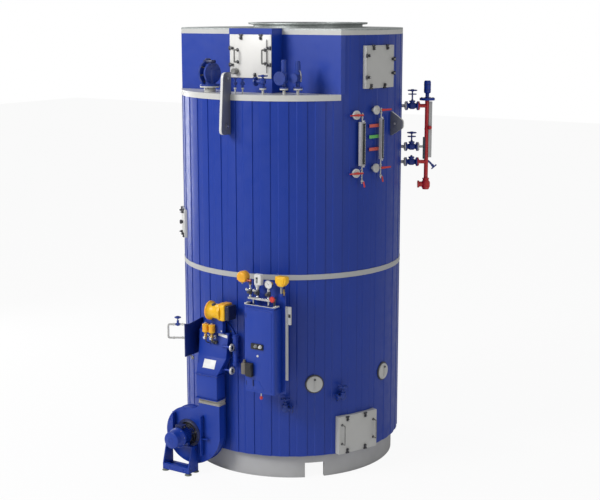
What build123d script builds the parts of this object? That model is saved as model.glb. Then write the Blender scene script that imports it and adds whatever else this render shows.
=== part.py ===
# Vertical industrial boiler, about 2.3 m across and 4.6 m high.
# Millimetres, +Z up, origin on the floor at the boiler's axis, -Y is the burner side.
# A bearing is an angle round the axis in degrees, counted from the -Y side towards +X.
import os
from math import atan2, cos, degrees, radians, sin, sqrt

from build123d import *

os.makedirs("parts", exist_ok=True)

# Body sizes
shell_r = 1150.0
cladding_thick = 110.0
panel_count = 40
first_seam = -4.8
seam_width = 7.0
seam_depth = 3.0
band_proud = 3.0
base_inset = 67.0
base_wall = 40.0
base_height = 249.0
base_plate = 20.0
lower_height = 1830.0
mid_band_height = 52.0
upper_height = 1701.0
ledge_thick = 57.0
top_height = 567.0
top_band_height = 44.0
roof_thick = 15.0
recess_depth = 526.0
recess_thick = 40.0
notch_width = 200.0
notch_height = 154.0
notch_bearing = 45.0

# Levels and radii that follow from them
inner_r = shell_r - cladding_thick
base_r = shell_r - base_inset
lower_top = base_height + lower_height
mid_top = lower_top + mid_band_height
upper_top = mid_top + upper_height
deck_top = upper_top + ledge_thick
top_shell_top = deck_top + top_height
roof_under = top_shell_top + top_band_height
roof_top = roof_under + roof_thick
recess_y = recess_depth - shell_r
recess_back = recess_y + recess_thick
beyond = shell_r * 1.5

# Smoke outlet
uptake_y = 311.0
uptake_bore_r = 566.0
uptake_wall = 12.0
uptake_neck = 26.0
uptake_flange_width = 53.0
uptake_flange_thick = 24.0
uptake_rim = 5.0
uptake_bolts = 12
uptake_bolt_r = 9.0
uptake_r = uptake_bore_r + uptake_wall
uptake_flange_r = uptake_r + uptake_flange_width
uptake_top = roof_top + uptake_neck + uptake_flange_thick
uptake_pitch_r = 606.0
fit_gap = 0.3


def at_bearing(bearing, radius, height):
    angle = radians(bearing)
    return (radius * sin(angle), -radius * cos(angle), height)


def facing(bearing, radius, height):
    # Local x runs round the boiler, local y up, local z outwards
    angle = radians(bearing)
    return Plane(
        origin=at_bearing(bearing, radius, height),
        x_dir=(cos(angle), sin(angle), 0),
        z_dir=(sin(angle), -cos(angle), 0),
    )


def rod(start, end, radius):
    a = Vector(*start)
    b = Vector(*end)
    plane = Plane(origin=a, z_dir=(b - a))
    return plane * Cylinder(radius, (b - a).length, align=(Align.CENTER, Align.CENTER, Align.MIN))


def disc(radius, low, high, x=0.0, y=0.0):
    return rod((x, y, low), (x, y, high), radius)


def block(x0, x1, y0, y1, z0, z1):
    centre = ((x0 + x1) / 2, (y0 + y1) / 2, (z0 + z1) / 2)
    return Pos(*centre) * Box(x1 - x0, y1 - y0, z1 - z0)


def ring(outer, inner, low, high):
    return disc(outer, low, high) - disc(inner, low, high)


def turned(plane, profile):
    # Revolves a profile of (radius, height) points round the plane's z axis
    outline = Wire.make_polygon([(r, 0, h) for r, h in profile], close=True)
    return plane * revolve(Face(outline), Axis.Z, 360)


def upright(x, y, z):
    return Plane(origin=(x, y, z), x_dir=(1, 0, 0), z_dir=(0, 0, 1))


def lying(x, y, z, direction):
    return Plane(origin=(x, y, z), z_dir=(direction[0], direction[1], 0))


def out_rod(plane, x, y, low, high, radius):
    spot = plane * Pos(x, y, low)
    return spot * Cylinder(radius, high - low, align=(Align.CENTER, Align.CENTER, Align.MIN))


def save(shape, name):
    export_step(shape, "parts/" + name + ".step")


def group(pieces):
    return Compound(children=list(pieces))


cladding_cut = disc(shell_r, -10, roof_top + 50)
band_cut = disc(shell_r + band_proud, upper_top, deck_top)
band_cut += disc(shell_r + band_proud, lower_top, mid_top)


def seams(low, high):
    # Upright grooves between the cladding panels
    height = high - low
    cutters = []
    for index in range(panel_count):
        plane = facing(first_seam + index * 360.0 / panel_count, shell_r, (low + high) / 2)
        cutters.append(plane * Box(seam_width, height + 2, 2 * seam_depth))
    return cutters


# Base ring, a hollow skirt under a closing plate, with two opposite notches
skirt_top = base_height - base_plate
base = ring(base_r, base_r - base_wall, 0, skirt_top) + disc(base_r, skirt_top, base_height)
for bearing in (notch_bearing, notch_bearing + 180):
    plane = facing(bearing, base_r - base_wall / 2, notch_height / 2)
    base -= plane * Box(notch_width, notch_height, base_wall * 3)
save(base, "base_ring")

# Cladding drums and the band between them
lower = ring(shell_r, inner_r, base_height, lower_top)
lower -= seams(base_height, lower_top)
save(lower, "lower_cladding")
save(ring(shell_r + band_proud, inner_r, lower_top, mid_top), "mid_band")
behind_recess = block(-beyond, beyond, recess_back, beyond, deck_top, roof_top)
behind_recess += block(-beyond, beyond, recess_y, beyond, upper_top, deck_top)
upper = ring(shell_r, inner_r, mid_top, upper_top)
upper += ring(shell_r, inner_r, upper_top, top_shell_top) & behind_recess
upper -= seams(mid_top, top_shell_top)
save(upper, "upper_cladding")

# Ledge deck in front of the recess, and the floor of the smoke chamber behind it
front_cut = block(-beyond, beyond, -beyond, recess_y, upper_top, deck_top)
ledge = disc(shell_r + band_proud, upper_top, deck_top) & front_cut
ledge += disc(inner_r, upper_top, deck_top)
save(ledge, "ledge_deck")

# Flat front of the top section, its band and the roof
plate_zone = block(-beyond, beyond, recess_y, recess_back, deck_top, top_shell_top)
save(disc(shell_r, deck_top, top_shell_top) & plate_zone, "recess_plate")
band_zone = block(-beyond, beyond, recess_y, beyond, top_shell_top, roof_under)
inside_zone = block(-beyond, beyond, recess_back, beyond, top_shell_top, roof_under)
outer_band = disc(shell_r, top_shell_top, roof_under) & band_zone
save(outer_band - (disc(inner_r, top_shell_top, roof_under) & inside_zone), "top_band")
roof = disc(shell_r, roof_under, roof_top) & block(-beyond, beyond, recess_y, beyond, roof_under, roof_top)
roof -= disc(uptake_bore_r, roof_under, roof_top, 0, uptake_y)
save(roof, "roof_plate")

# Smoke outlet, a neck with a drilled flange that has a small rim
flange_low = uptake_top - uptake_flange_thick
uptake = turned(upright(0, uptake_y, 0), [
    (uptake_bore_r, roof_top),
    (uptake_r, roof_top),
    (uptake_r, flange_low),
    (uptake_flange_r - uptake_rim, flange_low + uptake_rim),
    (uptake_flange_r, flange_low + 2 * uptake_rim),
    (uptake_flange_r, uptake_top),
    (uptake_bore_r, uptake_top),
])
for index in range(uptake_bolts):
    turn = radians(index * 360.0 / uptake_bolts)
    spot = (uptake_pitch_r * cos(turn), uptake_y + uptake_pitch_r * sin(turn))
    uptake -= disc(uptake_bolt_r, flange_low - 5, uptake_top + 5, *spot)
save(uptake, "uptake_outlet")

# Smoke box on the recess plate, open at its back
box_left = -226.0
box_right = 287.0
box_depth = 178.0
box_wall = 12.0
box_front = recess_y - box_depth
smoke_box = block(box_left, box_right, box_front, recess_y, deck_top, roof_top)
smoke_box -= block(
    box_left + box_wall, box_right - box_wall, box_front + box_wall, recess_y,
    deck_top + box_wall, roof_top - box_wall,
)
save(smoke_box, "smoke_box")

# Hatches: a cover plate with swing clamps round its edge
clamp_width = 26.0
clamp_length = 46.0
clamp_thick = 14.0
clamp_nut_r = 10.0
clamp_nut = 12.0


def clamp(plane, x, y, across):
    # A short bar over the edge of the cover with a nut on top
    size = (clamp_width, clamp_length) if across else (clamp_length, clamp_width)
    spot = plane * Pos(x, y, clamp_thick / 2)
    piece = spot * Box(size[0], size[1], clamp_thick)
    return piece + out_rod(plane, x, y, clamp_thick, clamp_thick + clamp_nut, clamp_nut_r)


box_hatch_left = box_left + 15.0
box_hatch_right = box_right - 3.0
box_hatch_low = deck_top + 143.0
box_hatch_high = roof_top - 59.0
box_hatch_thick = 16.0
hatch_face = box_front - box_hatch_thick
hatch_mid_x = (box_hatch_left + box_hatch_right) / 2
hatch_mid_z = (box_hatch_low + box_hatch_high) / 2
box_hatch = block(box_hatch_left, box_hatch_right, hatch_face, box_front, box_hatch_low, box_hatch_high)
front = Plane(origin=(hatch_mid_x, hatch_face, hatch_mid_z), x_dir=(1, 0, 0), z_dir=(0, -1, 0))
half_w = (box_hatch_right - box_hatch_left) / 2
half_h = (box_hatch_high - box_hatch_low) / 2
side_x = half_w - clamp_length / 2
edge_y = half_h - clamp_length / 2
for x in (-0.5 * half_w, 0.5 * half_w):
    box_hatch += clamp(front, x, edge_y, True)
box_hatch += clamp(front, -0.5 * half_w, -edge_y, True)
for x in (-side_x, side_x):
    for y in (0.35 * half_h, -0.42 * half_h):
        box_hatch += clamp(front, x, y, False)
save(box_hatch, "smoke_box_hatch")


def flat_hatch(bearing, low, high, width, proud):
    middle = (low + high) / 2
    plane = facing(bearing, shell_r + proud, middle)
    deep = proud + 60
    body = plane * Pos(0, 0, -deep / 2) * Box(width, high - low, deep)
    body = body - cladding_cut
    edge = (high - low) / 2 - clamp_length / 2
    for x in (-width / 4, width / 4):
        for y in (-edge, edge):
            body += clamp(plane, x, y, True)
    return body


side_hatch_bearing = 81.1
side_hatch_width = 440.0
side_hatch_height = 416.0
side_hatch_proud = 16.0
side_hatch_low = deck_top + 49.0
manhole_bearing = 67.5
manhole_width = 484.0
manhole_height = 395.0
manhole_proud = 34.0
manhole_low = base_height + 4.0
left_hatch_bearing = -47.0
left_hatch_width = 300.0
left_hatch_height = 290.0
left_hatch_proud = 14.0
left_hatch_low = mid_top + 229.0
hatches = [
    flat_hatch(
        side_hatch_bearing, side_hatch_low, side_hatch_low + side_hatch_height,
        side_hatch_width, side_hatch_proud,
    ),
    flat_hatch(
        manhole_bearing, manhole_low, manhole_low + manhole_height,
        manhole_width, manhole_proud,
    ),
    flat_hatch(
        left_hatch_bearing, left_hatch_low, left_hatch_low + left_hatch_height,
        left_hatch_width, left_hatch_proud,
    ),
]

# Round hand hole covers with a bar across
cover_r = 84.0
cover_proud = 22.0
cover_level = base_height + 760.0
for bearing in (44.0, 87.3):
    plane = facing(bearing, shell_r + cover_proud, cover_level)
    cover = out_rod(plane, 0, 0, -cover_proud - 40, -6, cover_r)
    cover += turned(plane, [(0, -6), (cover_r, -6), (cover_r - 8, 0), (0, 0)])
    cover = cover - cladding_cut
    cover += plane * Pos(0, 0, 5) * Box(14, 1.5 * cover_r, 10)
    hatches.append(cover)
save(group(hatches), "access_hatches")

# Lifting lugs, thick plates that stand out radially
lug_thick = 35.0
lug_out = 160.0
lug_lean = 48.0
lug_bearing = 0.8
lug_below = 330.0
lug_above = 215.0
lug_boss_r = 27.0
lug_boss_proud = 10.0
lug_corner = 42.0
lug_low = upper_top - lug_below
lug_high = deck_top + lug_above


def radial_profile(bearing, points):
    # A face in the upright plane through the axis, points are (radius, height)
    angle = radians(bearing)
    corners = [(r * sin(angle), -r * cos(angle), z) for r, z in points]
    return Face(Wire.make_polygon(corners, close=True))


def radial_plate(bearing, points, thick, corner):
    angle = radians(bearing)
    side = Vector(cos(angle), sin(angle), 0)
    plate = extrude(radial_profile(bearing, points), amount=thick / 2, dir=side)
    plate += extrude(radial_profile(bearing, points), amount=thick / 2, dir=side * -1)
    rounded = [
        edge for edge in plate.edges()
        if abs(edge.length - thick) < 0.5
        and sqrt(edge.center().X ** 2 + edge.center().Y ** 2) > shell_r + band_proud + 20
    ]
    return fillet(rounded, corner)


left_lug = radial_plate(lug_bearing, [
    (shell_r - 20, lug_low), (shell_r + lug_out, lug_low),
    (shell_r + lug_out - lug_lean, lug_high), (shell_r - 20, lug_high),
], lug_thick, lug_corner)
left_lug = left_lug - cladding_cut - band_cut
lug_side = Vector(cos(radians(lug_bearing)), sin(radians(lug_bearing)), 0)
for radius, level in ((shell_r + 62, lug_low + 80), (shell_r + 50, lug_high - 60)):
    spot = Vector(*at_bearing(lug_bearing, radius, level))
    left_lug += rod(spot - lug_side * (lug_thick / 2 + lug_boss_proud),
                    spot + lug_side * (lug_thick / 2 + lug_boss_proud), lug_boss_r)
right_lug_bearing = 93.0
right_lug_out = 150.0
right_lug_level = upper_top - 261.0
right_lug_height = 250.0
right_lug_eye_r = 20.0
right_lug_eye_out = 52.0
right_lug_nose = 32.0
right_lug_corner = 30.0
right_lug = radial_plate(right_lug_bearing, [
    (shell_r - 20, right_lug_level - right_lug_height / 2),
    (shell_r, right_lug_level - right_lug_height / 2),
    (shell_r + right_lug_out, right_lug_level - right_lug_nose),
    (shell_r + right_lug_out, right_lug_level + right_lug_nose),
    (shell_r, right_lug_level + right_lug_height / 2),
    (shell_r - 20, right_lug_level + right_lug_height / 2),
], lug_thick, right_lug_corner)
right_lug = right_lug - cladding_cut
spot = Vector(*at_bearing(right_lug_bearing, shell_r + right_lug_eye_out, right_lug_level))
right_side = Vector(cos(radians(right_lug_bearing)), sin(radians(right_lug_bearing)), 0)
right_lug -= rod(spot - right_side * lug_thick, spot + right_side * lug_thick, right_lug_eye_r)
save(group([left_lug, right_lug]), "lifting_lugs")

# Grey stubs and flanges on the ledge: bearing, inset from the edge, pipe and flange radius
stub_height = 60.0
stub_flange_thick = 13.0
stubs = {
    "main": (-20.3, 126.0, 57.0, 98.0),
    "small_a": (1.0, 100.0, 7.0, 14.0),
    "small_b": (5.5, 105.0, 7.0, 14.0),
    "wheel": (17.3, 103.0, 12.0, 33.0),
    "safety_a": (28.8, 89.0, 14.0, 41.0),
    "safety_b": (36.0, 86.0, 14.0, 45.0),
}
seat = deck_top + stub_height


def stub_spot(name):
    bearing, inset, pipe_r, flange_r = stubs[name]
    x, y, _ = at_bearing(bearing, shell_r - inset, 0)
    return x, y, pipe_r, flange_r


pieces = []
for name in stubs:
    x, y, pipe_r, flange_r = stub_spot(name)
    pieces.append(turned(upright(x, y, 0), [
        (0, deck_top), (pipe_r, deck_top), (pipe_r, seat - stub_flange_thick),
        (flange_r, seat - stub_flange_thick), (flange_r, seat), (0, seat),
    ]))
save(group(pieces), "ledge_stubs")

# Main steam valve: angle body, wide end flange and a blank face to the front
x, y, pipe_r, flange_r = stub_spot("main")
main_rise = 128.0
main_axis = seat + main_rise
main_face_r = 105.0
main_back_r = 122.0
main_bearing = 79.0
main_reach = 50.0
body_r = 58.0
toward = at_bearing(main_bearing, 1, 0)
valve = turned(upright(x, y, 0), [
    (0, seat), (flange_r, seat), (flange_r, seat + 18), (pipe_r, seat + 24),
    (pipe_r, seat + 40), (body_r, main_axis - 50), (body_r, main_axis + 30), (44, main_axis + 62),
    (44, main_axis + 92), (0, main_axis + 92),
])
valve += turned(lying(x, y, main_axis, toward), [
    (0, -38), (main_back_r, -38), (main_back_r, -14), (body_r, -10), (body_r, main_reach - 30),
    (main_face_r, main_reach - 24), (main_face_r, main_reach), (0, main_reach),
])
ledge_valves = [valve]


# Safety valves: inlet flange, body, tall spring bonnet and a round side outlet
def safety_valve(name, outlet_r, bonnet_height, bonnet_r):
    x, y, pipe_r, flange_r = stub_spot(name)
    level = seat + 100
    body = turned(upright(x, y, 0), [
        (0, seat), (flange_r, seat), (flange_r, seat + 14), (pipe_r + 6, seat + 18), (pipe_r + 6, seat + 50),
        (bonnet_r + 14, seat + 72), (bonnet_r + 14, seat + 140), (bonnet_r + 4, seat + 152),
        (bonnet_r, seat + 158), (bonnet_r, seat + bonnet_height - 14),
        (bonnet_r - 8, seat + bonnet_height), (0, seat + bonnet_height),
    ])
    body += turned(lying(x, y, level, (0, -1)), [
        (0, 0), (outlet_r * 0.55, 0), (outlet_r * 0.55, 62), (outlet_r, 66), (outlet_r, 84), (0, 84),
    ])
    return body


ledge_valves.append(safety_valve("safety_a", 66, 275, 27))
ledge_valves.append(safety_valve("safety_b", 46, 265, 25))

# Handwheels turn on a stem with a blind socket
stem_r = 8.0
socket_gap = 0.3
wheel_hub = 24.0
wheel_hub_r = 15.0
stem_in_hub = 12.0
rim_r = 6.0
spoke_r = 5.0


def handwheel(x, y, low, radius):
    middle = low + wheel_hub / 2
    wheel = Pos(x, y, middle) * Torus(radius - rim_r, rim_r)
    wheel += disc(wheel_hub_r, low, low + wheel_hub, x, y)
    for angle in (20, 80, 140):
        dx = (radius - rim_r) * cos(radians(angle))
        dy = (radius - rim_r) * sin(radians(angle))
        wheel += rod((x - dx, y - dy, middle), (x + dx, y + dy, middle), spoke_r)
    return wheel - disc(stem_r + socket_gap, low - 1, low + stem_in_hub + 2, x, y)


# Angle valve with a handwheel on the ledge
x, y, pipe_r, flange_r = stub_spot("wheel")
ledge_axis = seat + 62.0
ledge_wheel_r = 49.0
ledge_wheel_low = seat + 106.0
valve = turned(upright(x, y, 0), [
    (0, seat), (flange_r, seat), (flange_r, seat + 12), (18, seat + 16), (18, seat + 34), (32, seat + 48),
    (32, seat + 74), (26, seat + 82), (26, seat + 88), (14, seat + 91), (14, seat + 98),
    (stem_r, seat + 100), (stem_r, ledge_wheel_low + stem_in_hub), (0, ledge_wheel_low + stem_in_hub),
])
valve += turned(lying(x, y, ledge_axis, (-1, 0)), [
    (0, 0), (20, 0), (20, 72), (44, 76), (44, 90), (0, 90),
])
ledge_valves.append(valve)
save(handwheel(x, y, ledge_wheel_low, ledge_wheel_r), "ledge_handwheel")

# Small valves on the two small stubs
for name in ("small_a", "small_b"):
    x, y, pipe_r, flange_r = stub_spot(name)
    ledge_valves.append(turned(upright(x, y, 0), [
        (0, seat), (flange_r, seat), (flange_r, seat + 8), (11, seat + 10), (11, seat + 22), (21, seat + 32),
        (21, seat + 52), (11, seat + 60), (9, seat + 82), (22, seat + 84), (22, seat + 92), (0, seat + 92),
    ]))
save(group(ledge_valves), "ledge_valves")

# Level gauges: two cocks with round caps, a framed column and a drain
gauge_out = 62.0
cap_r = 44.0
cap_thick = 24.0
pin_r = 6.0
pin_out = 20.0
lever_gap = 9.0
lever_hub_r = 13.0
lever_height = 14.0
blade_thick = 6.0
blade_width = 20.0
column_shift = 66.0
column_depth = 40.0
pipe_r = 9.0
drain_length = 110.0
glass_recess = 4.0
gauges = {
    "left": (64.5, upper_top - 142.0, 568.0, 62.0, 0.0, -95.0, 62.0),
    "right": (76.8, upper_top - 105.0, 573.0, 40.0, column_shift, -14.0, 118.0),
}
cocks = []
columns = []
for side, (bearing, top, span, width, pin_at, tail, reach) in gauges.items():
    side_cocks = []
    for level in (top, top - span):
        plane = facing(bearing, shell_r, level)
        cock = turned(plane, [
            (0, -30), (17, -30), (17, gauge_out - cap_thick), (cap_r - 4, gauge_out - cap_thick),
            (cap_r, gauge_out - cap_thick + 5), (cap_r, gauge_out - 5), (cap_r - 6, gauge_out), (0, gauge_out),
        ])
        cock = cock - cladding_cut
        if pin_at == 0:
            cock += out_rod(plane, 0, 0, gauge_out - 2, gauge_out + pin_out, pin_r)
        side_cocks.append(cock)
    half = span / 2
    plane = facing(bearing, shell_r + gauge_out - cap_thick / 2, top - half)
    column = plane * Pos(column_shift, 0, 0) * Box(width, span - 90, column_depth)
    recess = plane * Pos(column_shift, 0, column_depth / 2) * Box(width * 0.42, span - 150, 2 * glass_recess)
    column -= recess
    column += plane * Pos(column_shift, 0, 0) * Rot(90, 0, 0) * Cylinder(pipe_r, span + 40)
    column += plane * Pos(column_shift, -half - drain_length / 2, 0) * Rot(90, 0, 0) * Cylinder(
        pipe_r, drain_length)
    column += plane * Pos(column_shift, -half - drain_length + 30, 0) * Rot(90, 0, 0) * Cylinder(14, 26)
    for sign in (1, -1):
        column += plane * Pos(column_shift / 2, sign * half, 0) * Rot(0, 90, 0) * Cylinder(11, column_shift + 10)
        column += plane * Pos(column_shift, sign * half, 0) * Sphere(15)
        if pin_at > 0:
            column += out_rod(plane, pin_at, sign * half, 0, pin_out + cap_thick / 2, pin_r)
    for cock in side_cocks:
        column -= cock
    cocks.extend(side_cocks)
    columns.append(column)
save(group(cocks), "gauge_cocks")
save(group(columns), "gauge_bodies")

# Red levers of the gauge cocks, each turns on a pin
lever_low = gauge_out + lever_gap
lever_top = lever_low + lever_height
for side, (bearing, top, span, width, pin_at, tail, reach) in gauges.items():
    for end, level in (("top", top), ("bottom", top - span)):
        plane = facing(bearing, shell_r, level)
        blade_low = lever_top - blade_thick
        outline = Wire.make_polygon([plane.from_local_coords(point) for point in (
            (pin_at + tail, -blade_width * 0.28, blade_low),
            (pin_at, -blade_width / 2, blade_low),
            (pin_at + reach, -blade_width * 0.4, blade_low),
            (pin_at + reach, blade_width * 0.4, blade_low),
            (pin_at, blade_width / 2, blade_low),
            (pin_at + tail, blade_width * 0.28, blade_low),
        )], close=True)
        lever = extrude(Face(outline), amount=blade_thick, dir=plane.z_dir)
        lever += out_rod(plane, pin_at, 0, lever_low, lever_top, lever_hub_r)
        lever -= out_rod(plane, pin_at, 0, lever_low - 1, gauge_out + pin_out + 1, pin_r + socket_gap)
        save(lever, "gauge_lever_" + side + "_" + end)

# Three small signs between the gauges, carried by short brackets
sign_width = 185.0
sign_height = 38.0
sign_thick = 4.0
sign_stand = 12.0
sign_bearing = 78.7
signs = []
for drop in (261.0, 369.0, 492.0):
    plane = facing(sign_bearing, shell_r, upper_top - drop)
    sign = plane * Pos(0, 0, sign_stand + sign_thick / 2) * Box(sign_width, sign_height, sign_thick)
    foot = plane * Pos(0, 0, sign_stand / 2 - 10) * Box(40, 16, sign_stand + 20)
    signs.append(sign + (foot - cladding_cut))
save(group(signs), "level_signs")

# Standpipe of the level control beside the boiler
stand_bearing = 122.0
stand_off = 268.0
stand_r = shell_r + stand_off
stand_top = upper_top - 68.0
stand_length = 821.0
stand_low = stand_top - stand_length
stand_pipe_r = 22.0
valve_off = 112.0
valve_half = 62.0
valve_r = shell_r + valve_off
valve_flange_r = 47.0
valve_flange_thick = 13.0
branches = {"top": 58.0, "middle": 487.0, "lower": 648.0}
unit = at_bearing(stand_bearing, 1, 0)
sx, sy, _ = at_bearing(stand_bearing, stand_r, 0)
pipe = disc(stand_pipe_r, stand_low, stand_top, sx, sy)
for name in ("top", "lower"):
    level = stand_top - branches[name]
    start = at_bearing(stand_bearing, valve_r + valve_half, level)
    pipe += turned(lying(start[0], start[1], level, unit), [
        (0, 0), (valve_flange_r, 0), (valve_flange_r, valve_flange_thick), (20, valve_flange_thick + 4),
        (20, stand_r - valve_r - valve_half), (0, stand_r - valve_r - valve_half),
    ])
knob_level = stand_top - 284.0
pipe += rod((sx, sy, knob_level), (sx + 42 * unit[0], sy + 42 * unit[1], knob_level), 16)

# Drain valve under the standpipe
drain_height = 120.0
drain_r = 46.0
pipe += turned(upright(sx, sy, 0), [
    (0, stand_low), (stand_pipe_r + 14, stand_low), (stand_pipe_r + 14, stand_low - 12),
    (30, stand_low - 20), (drain_r, stand_low - 44), (drain_r, stand_low - 90),
    (32, stand_low - drain_height), (0, stand_low - drain_height),
])
pipe += turned(lying(sx, sy, stand_low - 66, (-unit[0], -unit[1])), [
    (0, 0), (28, 0), (28, 66), (38, 70), (38, 88), (0, 88),
])
save(pipe, "standpipe")

# Boiler nozzles of the standpipe and the grey branch of the middle one
level = stand_top - branches["middle"]
start = at_bearing(stand_bearing, valve_r + valve_half, level)
branch = turned(lying(start[0], start[1], level, unit), [
    (0, 0), (valve_flange_r, 0), (valve_flange_r, valve_flange_thick), (13, valve_flange_thick + 3),
    (13, stand_r - valve_r - valve_half), (0, stand_r - valve_r - valve_half),
])
nozzles = [branch - pipe]
for name, drop in branches.items():
    level = stand_top - drop
    start = at_bearing(stand_bearing, shell_r - 40, level)
    reach = valve_off - valve_half + 40
    nozzle = turned(lying(start[0], start[1], level, unit), [
        (0, 0), (17, 0), (17, reach - valve_flange_thick - 3), (valve_flange_r, reach - valve_flange_thick),
        (valve_flange_r, reach), (0, reach),
    ])
    nozzles.append(nozzle - cladding_cut)
save(group(nozzles), "level_nozzles")

# Straight isolating valves, two of them with handwheels
level_wheel_r = 51.0
wheel_rises = {"top": 149.0, "middle": 134.0}
gland_r = 44.0
valves = []
for name, drop in branches.items():
    level = stand_top - drop
    vx, vy, _ = at_bearing(stand_bearing, valve_r, level)
    start = at_bearing(stand_bearing, valve_r - valve_half, level)
    full = 2 * valve_half
    valve = turned(lying(start[0], start[1], level, unit), [
        (0, 0), (valve_flange_r, 0), (valve_flange_r, valve_flange_thick), (22, valve_flange_thick + 4),
        (36, valve_half - 18), (36, valve_half + 18), (22, full - valve_flange_thick - 4),
        (valve_flange_r, full - valve_flange_thick), (valve_flange_r, full), (0, full),
    ])
    rise = wheel_rises.get(name, 70.0)
    stem_end = level + rise + (stem_in_hub if name in wheel_rises else 0)
    valve += turned(upright(vx, vy, 0), [
        (0, level), (24, level), (24, level + 38), (32, level + 40), (32, level + 52), (13, level + 56),
        (13, level + 64), (stem_r, level + 66), (stem_r, stem_end), (0, stem_end),
    ])
    if name in wheel_rises:
        valve += disc(gland_r, level + rise - 32, level + rise - 23, vx, vy)
    valves.append(valve)
    if name in wheel_rises:
        save(handwheel(vx, vy, level + rise, level_wheel_r), "level_handwheel_" + name)
save(group(valves), "level_valves")

# Sensor head on its flange, and the grey indicator strip
sensor_flange_r = 80.0
head = turned(upright(sx, sy, stand_top), [
    (0, 0), (sensor_flange_r, 0), (sensor_flange_r, 24), (20, 26), (20, 70), (32, 76), (36, 82),
    (36, 190), (30, 204), (0, 204),
])
save(head, "level_sensor")
scale_height = 586.0
scale_below = 14.0
scale_mid = stand_top - scale_below - scale_height / 2
scale_plane = facing(stand_bearing, stand_r + stand_pipe_r + 14, scale_mid)
scale = scale_plane * Box(40, scale_height, 34)
save(scale - disc(stand_pipe_r, stand_low, stand_top, sx, sy) - pipe, "level_scale")

# Blow down valves low on the cladding
blow = []
for bearing, rise, turn in ((29.7, 526.0, 1), (57.5, 621.0, -1)):
    plane = facing(bearing, shell_r, base_height + rise)
    piece = turned(plane, [
        (0, -40), (20, -40), (20, 22), (42, 24), (42, 38), (20, 42), (20, 52), (34, 60), (34, 88),
        (20, 100), (0, 100),
    ])
    piece += plane * Pos(turn * 34, 0, 74) * Rot(0, 90, 0) * Cylinder(18, 68)
    piece += plane * Pos(turn * 66, 0, 74) * Rot(0, 90, 0) * Cylinder(38, 12)
    piece += plane * Pos(0, 54, 74) * Rot(90, 0, 0) * Cylinder(10, 108)
    piece += plane * Pos(0, 108, 74) * Rot(90, 0, 0) * Cylinder(50, 12)
    blow.append(piece - cladding_cut)
save(group(blow), "blow_down_valves")

# Sides of the air path: the fan's outlet, the flexible joint and the duct
air_left = -302.0
air_right = -46.0

# Fan: scroll casing with rims, inlet, motor and stand
fan_clear = 32.0
fan_depth = 108.0
fan_x = -446.0
fan_z = 398.0
scroll_r = 268.0
scroll_steps = 12
tongue_angle = 78.0
tongue_drop = 40.0
inlet_r = 118.0
inlet_wall = 12.0
rim_out = 9.0
rim_thick = 8.0
outlet_top = 748.0
fan_back = -(shell_r + fan_clear)
fan_front = fan_back - fan_depth
outlet_left = air_left + rim_out
outlet_right = air_right - rim_out
scroll_grow = outlet_right - fan_x - scroll_r


def scroll_face(grow, y):
    # Spiral from the tongue left of the outlet, round under the fan, up to the outlet's right side
    points = []
    for index in range(scroll_steps + 1):
        share = index / scroll_steps
        angle = radians(tongue_angle + (360.0 - tongue_angle) * share)
        reach = scroll_r + grow + scroll_grow * share ** 3
        points.append((fan_x + reach * cos(angle), y, fan_z + reach * sin(angle)))
    top_right = (outlet_right + grow, y, outlet_top)
    top_left = (outlet_left - grow, y, outlet_top)
    tongue = (outlet_left - grow, y, outlet_top - tongue_drop)
    edges = [
        Spline([Vector(*point) for point in points]),
        Line(points[-1], top_right),
        Line(top_right, top_left),
        Line(top_left, tongue),
        Line(tongue, points[0]),
    ]
    return Face(Wire(edges))


casing = extrude(scroll_face(0, fan_back), amount=fan_depth, dir=(0, -1, 0))
for y in (fan_back, fan_front + rim_thick):
    rim = extrude(scroll_face(rim_out, y), amount=rim_thick, dir=(0, -1, 0))
    casing += rim & block(-beyond, beyond, y - rim_thick, y, 0, outlet_top)
casing -= rod((fan_x, fan_front - 1, fan_z), (fan_x, fan_back - inlet_wall, fan_z), inlet_r)
motor_seat = fan_back - inlet_wall
save(casing, "fan_casing")

# Motor with cooling ribs and a domed end
motor_r = 90.0
motor_length = 250.0
motor_gap = 45.0
rib_count = 24
rib_high = 5.0
guard_out = 45.0
motor_front = fan_front - motor_gap - motor_length
motor = turned(lying(fan_x, fan_front - motor_gap, fan_z, (0, -1)), [
    (0, 0), (motor_r - rib_high, 0), (motor_r - rib_high, motor_length - 60), (motor_r, motor_length - 58),
    (motor_r, motor_length - 34), (motor_r - 5, motor_length - 10), (motor_r - 12, motor_length),
    (0, motor_length),
])
for index in range(rib_count):
    angle = index * 360.0 / rib_count
    centre_y = fan_front - motor_gap - (motor_length - 60) / 2
    rib = Pos(fan_x, centre_y, fan_z) * Rot(0, angle, 0) * Pos(0, 0, motor_r - rib_high)
    motor += rib * Box(4, motor_length - 64, 2 * rib_high)
motor += rod((fan_x, motor_seat, fan_z), (fan_x, fan_front - motor_gap + 5, fan_z), 34)
motor += turned(lying(fan_x, fan_front, fan_z, (0, -1)), [
    (34, 12), (inlet_r + 4, 12), (inlet_r + 4, 20), (60, guard_out), (34, guard_out),
])
motor += block(fan_x - 45, fan_x + 45, motor_front + 90, motor_front + 180, fan_z + motor_r - 12, fan_z + motor_r + 44)
save(motor, "fan_motor")

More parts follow.
